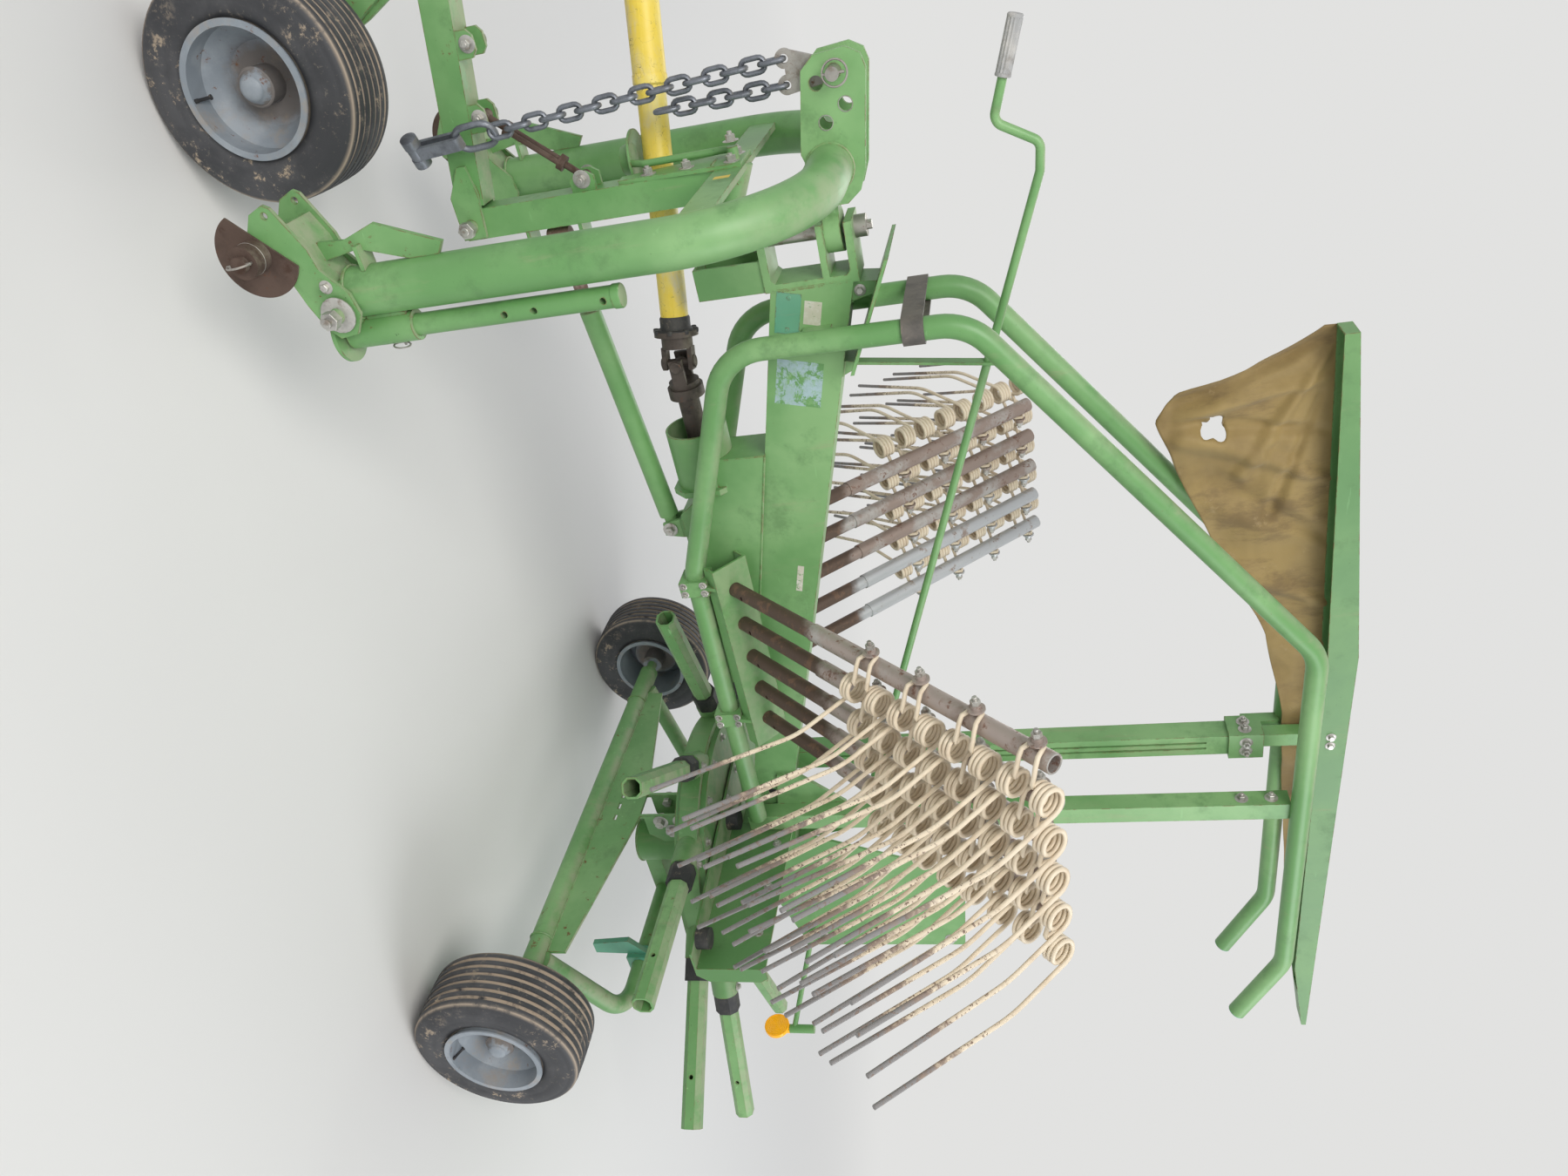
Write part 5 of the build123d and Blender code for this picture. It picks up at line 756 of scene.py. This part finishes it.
LENS_RINGS, LENS_STEP = 7, 4.6
rings = [(37.6, -1), (37.6, 1.8), (35, 2.4)]
for k in range(LENS_RINGS):
    low = 34 - k * LENS_STEP
    rings += [(low, 1.0), (low - LENS_STEP / 2, 2.0)]
rings += [(1.5, 1.4), (0, 1.4)]
# The lens has the amber material's faint emission, a painted glow
piece("reflector_lens", [lathe(rings, at(-696, 250, 670), FORWARD, 40)], "frame", glowing_amber, smooth_deg=20)

# Curtain: coated cloth that hangs in loose folds from the rail, with a torn hole

CLOTH_FROM, CLOTH_TO, CLOTH_COLUMNS, CLOTH_ROWS = 1228.0, -800.0, 300, 60
CLOTH_LOW = ((1228, 2146), (1151, 2011), (1110, 1858), (1048, 1816), (960, 1850), (705, 1948), (450, 2070),
             (200, 2120), (-500, 2165), (-800, 2204))
CLOTH_TOP = ((1228, 2184), (410, 2234), (-800, 2226))
CLOTH_Y, CLOTH_SAG, CLOTH_T = -76, 5, 0.0016
CLOTH_Y_LIMITS = (-89.0, -50.0)
HELD_BY_RAIL, LOOSE_AFTER = 6, 90
HOLE_AT, HOLE_R, HOLE_SNAP = Vector((1019.0, 1940.0)), 24.0, 5.0
CREASES = (  # start, end, width and height of each ridge or valley, as (x, z) in mm
    ((1215, 2180), (1060, 1822), 40, -19), ((1120, 2190), (1052, 1840), 34, 17), ((985, 2198), (1040, 1850), 38, -19),
    ((860, 2206), (1010, 1880), 44, 16), ((1190, 2170), (900, 2000), 30, 14), ((700, 2216), (880, 1935), 52, -16),
    ((1080, 2150), (780, 2060), 26, -12), ((520, 2220), (640, 2010), 44, 13),
)


def along_outline(outline, x, ease=0.0):
    """Height over x on an outline of (x, z) points; ease rounds its corners."""
    pairs = sorted(outline)
    for (x0, z0), (x1, z1) in zip(pairs, pairs[1:]):
        if x0 <= x <= x1:
            t = (x - x0) / (x1 - x0)
            return z0 + (z1 - z0) * (t * t * (3 - 2 * t) * ease + t * (1 - ease))
    return pairs[0][1] if x < pairs[0][0] else pairs[-1][1]


def crease(place, start, end, width):
    """A soft ridge along a line in the cloth: 1 on it, 0 a width away."""
    span = Vector(end) - Vector(start)
    t = max(0.0, min(1.0, (place - Vector(start)).dot(span) / span.length_squared))
    away = (place - Vector(start) - span * t).length / (width * (0.45 + 0.55 * t))
    return max(0.0, 1 - away) ** 2 * (3 - 2 * max(0.0, 1 - away))


def hang(flat):
    """How far the folds and creases push the cloth to the left at a place (x, z), in mm."""
    fold = sin(flat.x * 0.034 + flat.y * 0.006) * 4 + sin(flat.x * 0.011 - flat.y * 0.016 + 1.2) * 4
    fold += noise.noise(Vector((flat.x, flat.y, 0)) * 0.012) * 8
    fold += sum(crease(flat, start, end, width) * lift for start, end, width, lift in CREASES)
    return fold + noise.noise(Vector((flat.x, flat.y, 40)) * 0.045) * 1.6


def build_cloth():
    points, faces, inside = [], [], []
    for i in range(CLOTH_COLUMNS + 1):
        x = CLOTH_FROM + (CLOTH_TO - CLOTH_FROM) * i / CLOTH_COLUMNS
        low, top = along_outline(CLOTH_LOW, x, 0.35), along_outline(CLOTH_TOP, x)
        for j in range(CLOTH_ROWS + 1):
            z = top + (low - top) * j / CLOTH_ROWS
            flat = Vector((x, z))
            away = flat - HOLE_AT
            edge = HOLE_R * (1 + 0.3 * sin(atan2(away.y, away.x) * 3 + 0.6))
            if edge - HOLE_SNAP < away.length < edge + HOLE_SNAP:
                flat = HOLE_AT + away.normalized() * edge
            inside.append(away.length <= edge - HOLE_SNAP)
            loose = max(0.0, min(1.0, (top - HELD_BY_RAIL - z) / LOOSE_AFTER))
            y = CLOTH_Y + loose * (CLOTH_SAG + hang(flat))
            points.append(at(flat.x, max(CLOTH_Y_LIMITS[0], min(CLOTH_Y_LIMITS[1], y)), flat.y))
    column = CLOTH_ROWS + 1
    for i in range(CLOTH_COLUMNS):
        for j in range(CLOTH_ROWS):
            face = tuple(k + j for k in (i * column, (i + 1) * column, (i + 1) * column + 1, i * column + 1))
            if not any(inside[k] for k in face):
                faces.append(face)
    made = piece("curtain_cloth", [(points, faces)], "frame", canvas, ["curtain"], smooth_deg=180)
    thick = made.modifiers.new("thickness", "SOLIDIFY")
    thick.thickness, thick.offset = CLOTH_T, 0.0
    return made, sum(polygon.area for polygon in made.data.polygons)


cloth, cloth_area = build_cloth()

# Cut tube ends, the drive shaft's open end and its joint; near-black discs in the open ends are painted shade for the
# hollow insides

GUARD_END, GUARD_BEND, GUARD_Y, GUARD_R = Vector((-777.0, 0, 2015.0)), Vector((-550.0, 0, 2128.0)), 116, 24
SHAFT_FROM, SHAFT_TO = Vector((1350.0, 0, 812.0)), Vector((2400.0, -226.0, 905.0))
LOBES, LOBE_RING_R, LOBE_AT = 8, 45, 64

guard_axis = (GUARD_END - GUARD_BEND).normalized()
walls, shade_discs = [], []
for side in SIDES:
    centre = at(GUARD_END.x, side * GUARD_Y, GUARD_END.z)
    wall = [(GUARD_R, -2), (GUARD_R + 0.3, 0.2), (GUARD_R - 0.6, 1.0), (GUARD_R - 3.2, 1.0), (GUARD_R - 3.6, 0.5)]
    walls.append(lathe(wall, centre, guard_axis, 28))
    # A near-black disc just inside each mouth: painted shade for the tube's hollow
    shade_discs.append(lathe([(GUARD_R - 3.4, 0.55), (0, 0.55)], centre, guard_axis, 28))
piece("guard_tube_ends", walls, "frame", teal)
piece("guard_tube_shade_discs", shade_discs, "frame", painted_inside_shade)

joint_at = at(*SHAFT_FROM)
shaft_axis = (SHAFT_TO - SHAFT_FROM).normalized()
shaft_length = (SHAFT_TO - SHAFT_FROM).length
cover = [lathe([(34, 57), (36, 58), (46.5, 66), (47.5, 72), (36, 73), (33, 78), (33, 96), (30.4, 100)], joint_at,
               shaft_axis, 40)]
for spot in circle(joint_at + shaft_axis * (LOBE_AT * MM), shaft_axis, LOBE_RING_R, LOBES):
    cover.append(lathe([(0, 0), (5.5, 0.5), (6, 4), (6, 9), (4, 10.5), (0, 10.5)], spot, shaft_axis, 12))
piece("shaft_bearing_ring", cover, "drive_shaft", black_rubber)
sleeve = [lathe(profile, joint_at, shaft_axis, 40) for profile in (
    [(30.2, 552), (35.2, 556), (35.2, 572), (34.3, 574)], [(34.2, 800), (36.0, 803), (36.0, 812), (34.2, 815)])]
piece("shaft_sleeve_bands", sleeve, "drive_shaft", guard_plastic)
# A near-black disc at the shaft's open end: painted shade for its hollow
end = lathe([(31.5, shaft_length + 0.05), (0, shaft_length + 0.05)], joint_at, shaft_axis)
piece("shaft_shade_disc", [end], "drive_shaft", painted_inside_shade)
caps = [lathe([(13.5, 34.2), (13.5, 37.5), (11, 38.6), (9, 37.4), (0, 37.2)], joint_at, axis, 20)
        for axis in (LEFT, -LEFT, UP, -UP)]
piece("joint_caps", caps, "frame", oily)

# Bolts, pins and rings, grouped by the body that they ride on

ROTOR_X, DRUM_RING_R, STUB_RING_R, STUB_BACK = -140, 352, 336, 248
GUARD_CLAMPS, GUARD_LINE = (846, 440), ((62, 745), (870, 757))
ARM_LUGS, ARM_LINE, LUG_RISE = (1906, 2035), ((1710, 462), (2190, 545)), 52
LINK_Y, LINK_PIN_X, LINK_PIN_Z, PIN_END_Y = 400, 1812, 264, 511.3
FRAME_BOLTS = (  # axis, size, thread end, places
    (UP, 17, 0, ((-272, -71, 655), (-34, -71, 655), (-272, 71, 655), (-34, 71, 655))),  # rotor head
    (FORWARD, 17, 6, ((55, 85, 2072), (55, 85, 2002))),  # mast clamp
    (FORWARD, 17, 5, ((183.3, -59, 2026), (183.3, -31, 2026))),
    (LEFT, 17, 8, ((131, -6.7, 2026), (159, -6.7, 2026))),
    (LEFT, 13, 0, ((131, -15, 2226), (159, -15, 2226))),  # curtain rail
    (LEFT, 19, 5, ((-112, 73, 705), (-196, 73, 700), (-250, 73, 1240), (-510, 73, 1215),
                   (-500, 73, 830))),  # side plate
    (UP, 13, 0, ((80, -60, 649), (80, 60, 649))),
    (FORWARD, 13, 0, ((-8, 150, 790), (-8, 300, 790), (-8, 450, 790))),
    (UP, 13, 6, ((-352, 278, 380), (-308, 278, 380), (-352, 302, 380), (-308, 302, 380))),  # bow clamp
    (-UP, 24, 0, ((1585, 0, 1031),)),  # swivel pin's lower end
)
HEAD_BOLTS = (
    (FORWARD, 17, 4, ((1748, -46, 1024), (1748, 18, 1024), (1748, 8, 930), (1748, 8, 850))),  # centre post
    (FORWARD, 17, 6, ((1783, 8, 1028),)),  # stay bar
    (-LEFT, 30, 0, ((1710, -39.3, 462),)),  # wheel arm's hinge
)

frame_bolts = bolts(FRAME_BOLTS)
for x in GUARD_CLAMPS:
    for lift in (-24, 24):
        for step in (-11, 11):
            frame_bolts += bolt_pair(x + step, 148, along_outline(GUARD_LINE, x) + lift, 10, stem=4)
for x, z in ((-20, 420), (-20, 480), (-55, 450)):
    frame_bolts += bolt_pair(x, 48, z, 24)
    frame_bolts += [bolt(at(x, side * 38, z), LEFT * -side, 24, washer=False) for side in SIDES]
frame_bolts += bolt_pair(945, 26, 694, 19) + bolt_pair(1468, 38, 1236, 13)
frame_bolts.append(bolt(at(ROTOR_X, 0, 0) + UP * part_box("rotor_head")[1].z, UP, 24, washer=False))
frame_bolts.append(bolt(at(1585, 0, 1264), UP, 17, washer=False))
piece("bolts_frame", frame_bolts, "frame", zinc, smooth_deg=25)

ring = [(DRUM_RING_R, 0, 637, radians(9 + 18 * k)) for k in range(20)]
ring += [(STUB_RING_R, STUB_BACK, 632, radians(17 + 36 * k)) for k in range(10)]
rotor_bolts = [
    bolt(at(ROTOR_X + reach * cos(a) + back * sin(a), reach * sin(a) - back * cos(a), z), UP, 13)
    for reach, back, z, a in ring
]
piece("bolts_rotor", rotor_bolts, "rotor", zinc, smooth_deg=25)

head_bolts = bolts(HEAD_BOLTS)
head_bolts += bolt_pair(1690, 478, 371, 30, stem=10, washer=False) + bolt_pair(1740, 454, 366, 13)
head_bolts.append(bolt(at(1710, 55.3, 462), LEFT, 30, stem=6, washer=False))
for side in SIDES:
    large_washer = [(0, 0), (32.4, 0), (32.4, 2.5), (26.568, 5), (0, 5)]
    head_bolts.append(lathe(large_washer, at(1690, side * 459, 371), LEFT * side, 20))
    stem = 3 if side > 0 else 0
    for x in ARM_LUGS:
        head_bolts.append(bolt(at(x, side * 30, along_outline(ARM_LINE, x) + LUG_RISE), LEFT * side, 17, stem))
    head_bolts.append(bolt(at(1762, side * 22, 716), LEFT * side, 19, stem))
for x, z in ((1818, 1262), (1791, 1221)):
    head_bolts.append(wire_ring(at(x, 40.2, z), LEFT, 13.4, 0.9))
piece("bolts_headstock", head_bolts, "headstock", zinc, smooth_deg=25)

upper_end = at(1876, 66, 1250)
pins = [lathe([(2.8, -20), (2.8, 22), (0, 23)], upper_end, UP, 10),
        wire_ring(upper_end + UP * 0.004, LEFT + FORWARD * 0.3, 23, 2.0, 30)]
for side in SIDES:
    pin_end = at(LINK_PIN_X, side * PIN_END_Y, LINK_PIN_Z)
    pins.append(lathe([(2.6, -24), (2.6, 22), (0, 24)], pin_end, UP, 10))
    pins.append(wire_ring(pin_end, FORWARD, 21, 1.9, 30))
    pins.append(wire_ring(at(LINK_PIN_X, side * 478, LINK_PIN_Z), LEFT, 27.4, 1.2, 36))
    pins.append(lathe([(2.4, -34), (2.4, 34), (0, 35)], at(1636, side * LINK_Y, 440), FORWARD, 8))
    pins.append(wire_ring(at(1602, side * LINK_Y, 432), FORWARD + UP * 0.2, 15, 1.7, 26))
piece("lynch_pins", pins, "headstock", bare)

castor_bolts = [bolt(at(2190, 0, 619), UP, 30, stem=8), bolt(at(2100, 22, 300), LEFT, 17)]
piece("bolts_castor", castor_bolts, "castor", zinc, smooth_deg=25)
for name, side in (("left", 1), ("right", -1)):
    cap = lathe([(20.0, -16), (21.8, -15), (21.8, -2), (20.5, 0.3), (16, 1.6), (0, 2.2)],
                at(1636, side * LINK_Y, 877), UP, 28)
    piece("stand_cap_" + name, [cap], "stand_" + name, green_rough)

# Weld beads

frame_welds = [
    ((1447, -38, 1216), (1447, 38, 1216), 1, 3.2), ((1288, 38, 1172), (1322, 38, 1181), 2, 3.2),
    ((116, -16, 846), (174, -16, 862), 3, 3.2), ((1130, 58, 972), (1130, 58, 846), 4, 2.6),
    ((600, 60, 847), (1130, 60, 971), 5, 2.6), ((600, -60, 847), (1130, -60, 971), 6, 2.6),
]
head_welds = [((1748, -30, 985), (1748, 30, 985), 3, 2.4)]
for side in SIDES:
    frame_welds += [
        ((4 * side, -515, 235), (4 * side, 515, 235), 2 * side, 2.6),
        ((1494, side * 48, 1060), (1494, side * 48, 1222), side, 3.2),
        ((1390, side * 92, 1112), (1390, side * 92, 1168), side, 2.4),
    ]
    link_y = side * LINK_Y
    head_welds += [
        ((1742, link_y + 5, 545), (1752, link_y + 5, 450), side, 2.6),
        ((1690, side * 358, 1049), (1738, side * 358, 1051), side, 3.0),
    ]
frame_beads = welds(frame_welds) + [round_weld(at(ROTOR_X, 0, 321), UP, 62.5, 7)]
head_beads = welds(head_welds) + [round_weld(at(2190, 0, 545), UP, 31, 5)]
for side in SIDES:
    frame_beads.append(round_weld(at(0, side * 480, 205), LEFT, 30.5, side))
    head_beads.append(round_weld(at(1710, side * 41.5, 1215), LEFT, 45, side, 3.6))
    head_beads.append(round_weld(at(1710, side * LINK_Y, 387), UP, 46, side))
piece("welds_frame", frame_beads, "frame", green_rough)
piece("welds_headstock", head_beads, "headstock", green_rough)

# Blank plate, bare worn labels and hatch plug on the beam, and the yellow mark on the stay bar

BEAM_SIDE_Y = 50
HATCH_Z = 782.25
PLATE_X, PLATE_Z, PLATE_T, RIVET_OUT = 1443, 1083, 0.9, 34
RIVET = [(4.4, 0), (3.8, 1.1), (2.0, 1.5), (1.6, 0.9), (0, 0.9)]
backward = Vector((-1, 0, -0.25)).normalized()  # along the beam, which falls to the rear
rise = LEFT.cross(backward)


def plate(origin, first, second, half_w, half_h, height, inset=0.1):
    outline = [(-half_w, -half_h), (half_w, -half_h), (half_w, half_h), (-half_w, half_h)]
    return prism(outline, origin, first, second, height, inset)


def on_beam(x, z, half_w, half_h, height, inset=0.1):
    """Thin plate on the beam's left face."""
    return plate(at(x, BEAM_SIDE_Y, z), backward, rise, half_w, half_h, height, inset)


plate_shapes = [on_beam(PLATE_X, PLATE_Z, 44, 26, PLATE_T, 0.4)]
for a in (-RIVET_OUT, RIVET_OUT):
    spot = at(PLATE_X, BEAM_SIDE_Y, PLATE_Z) + (backward * a + LEFT * PLATE_T) * MM
    plate_shapes.append(lathe(RIVET, spot, LEFT, 14))
labels = [on_beam(1437, 1134, 25, 18, 0.35), on_beam(793, 989, 36, 7.5, 0.35)]
hatch = [lathe([(12.6, -9), (12.6, -4), (9, -3), (0, -3.4)], at(90, BEAM_SIDE_Y, HATCH_Z), LEFT, 24)]
mark = [plate(at(1740, 105, 1020), LEFT, UP, 9, 16, 0.4)]
piece("blank_plate", plate_shapes, "frame", teal, smooth_deg=20)
piece("blank_labels", labels, "frame", pale_label, smooth_deg=20)
piece("worn_sticker", [on_beam(1288, 1078, 51, 50, 0.3)], "frame", worn_sticker, smooth_deg=20)
piece("hatch_plug", hatch, "frame", black_rubber)
piece("stay_mark", mark, "headstock", yellow_mark)

# Floor, backdrop, light and the camera at the photograph's angle

BACKDROP = (0.76, 0.76, 0.75)
FLOOR_COLOUR = (0.66, 0.65, 0.63)
FLOOR_HALF, FLOOR_CORNERS = 30.0, ((-1, -1), (1, -1), (1, 1), (-1, 1))
FLOOR_FADE = (2.6, 7.5)
SKY_COLOUR, SKY_STRENGTH = (0.9, 0.94, 1.0), 0.55
LAMP_SIZE, LAMP_TARGET = 4.0, Vector((0, 0, 0.8))
LAMPS = (  # name, place, watts, colour
    ("key_light", (3.5, 4.5, 5.0), 330, (1.0, 0.98, 0.95)),
    ("fill_light", (-4.5, 4.0, 3.5), 170, (0.94, 0.97, 1.0)),
    ("rim_light", (-1.0, -5.5, 4.5), 130, (1.0, 1.0, 1.0)),
)
CAMERA_PLACE, CAMERA_LENS = Vector((1.490, 2.170, 1.545)), 24.79
CAMERA_TURN = 236.45, 13.28, -4.2  # yaw, pitch, roll


def seen_directly(tree):
    """1 for rays that show the background: camera, mirror and glass rays."""
    rays = add_node(tree, "LightPath").outputs
    total = rays["Is Camera Ray"]
    for name in ("Is Glossy Ray", "Is Transmission Ray"):
        total = add_node(tree, "Math", {0: total, 1: rays[name]}, operation="MAXIMUM").outputs[0]
    return total


def blend_into(output, tree, mask, near, far):
    """Shows near where mask is 0 and far where it is 1."""
    blend = add_node(tree, "MixShader", {0: mask, 1: near.outputs[0], 2: far.outputs[0]})
    fill(tree, tree.nodes[output], {"Surface": blend.outputs[0]})


# The floor fades into the backdrop far from the object
floor = bpy.data.meshes.new("floor")
floor.from_pydata([(x * FLOOR_HALF, y * FLOOR_HALF, 0) for x, y in FLOOR_CORNERS], [], [(0, 1, 2, 3)])
material = bpy.data.materials.new("floor")
material.use_nodes = True
tree = material.node_tree
shader = tree.nodes["Principled BSDF"]
fill(tree, shader, {"Base Color": (*FLOOR_COLOUR, 1), "Roughness": 0.9})
place = add_node(tree, "NewGeometry").outputs["Position"]
distance = add_node(tree, "VectorMath", {0: place}, operation="LENGTH").outputs["Value"]
fade = add_node(tree, "MapRange", {"Value": distance, "From Min": FLOOR_FADE[0], "From Max": FLOOR_FADE[1]},
                interpolation_type="SMOOTHSTEP").outputs["Result"]
share = add_node(tree, "Math", {0: fade, 1: seen_directly(tree)}, operation="MULTIPLY").outputs[0]
blend_into("Material Output", tree, share, shader, add_node(tree, "Emission", {"Color": (*BACKDROP, 1)}))
floor.materials.append(material)
link("floor", floor)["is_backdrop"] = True

for name, place, watts, colour in LAMPS:
    data = bpy.data.lights.new(name, "AREA")
    data.shape, data.size, data.energy, data.color = "DISK", LAMP_SIZE, watts, colour
    made = link(name, data)
    made.location = place
    made.rotation_mode = "QUATERNION"
    made.rotation_quaternion = (Vector(place) - LAMP_TARGET).to_track_quat("Z", "Y")

world = bpy.data.worlds.new("soft_sky")
bpy.context.scene.world = world
world.use_nodes = True
tree = world.node_tree
sky = tree.nodes["Background"]
fill(tree, sky, {"Color": (*SKY_COLOUR, 1), "Strength": SKY_STRENGTH})
pale = add_node(tree, "Background", {"Color": (*BACKDROP, 1), "Strength": 1.0})
blend_into("World Output", tree, seen_directly(tree), sky, pale)
bpy.context.scene.view_settings.view_transform = "Standard"

# The photograph lies on its side, so the picture's right is the rolled view's upward direction
yaw, pitch, roll = (radians(a) for a in CAMERA_TURN)
ahead = Vector((cos(yaw) * cos(pitch), sin(yaw) * cos(pitch), -sin(pitch)))
right = ahead.cross(UP).normalized()
above = right.cross(ahead)
right, above = right * cos(roll) + above * sin(roll), above * cos(roll) - right * sin(roll)
data = bpy.data.cameras.new("camera")
data.lens, data.sensor_width = CAMERA_LENS, 36.0
camera = link("camera", data)
facing = Matrix((above, -right, -ahead)).transposed().to_4x4()
camera.matrix_world = Matrix.Translation(CAMERA_PLACE) @ facing
bpy.context.scene.camera = camera

bpy.context.view_layer.update()
low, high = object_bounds()
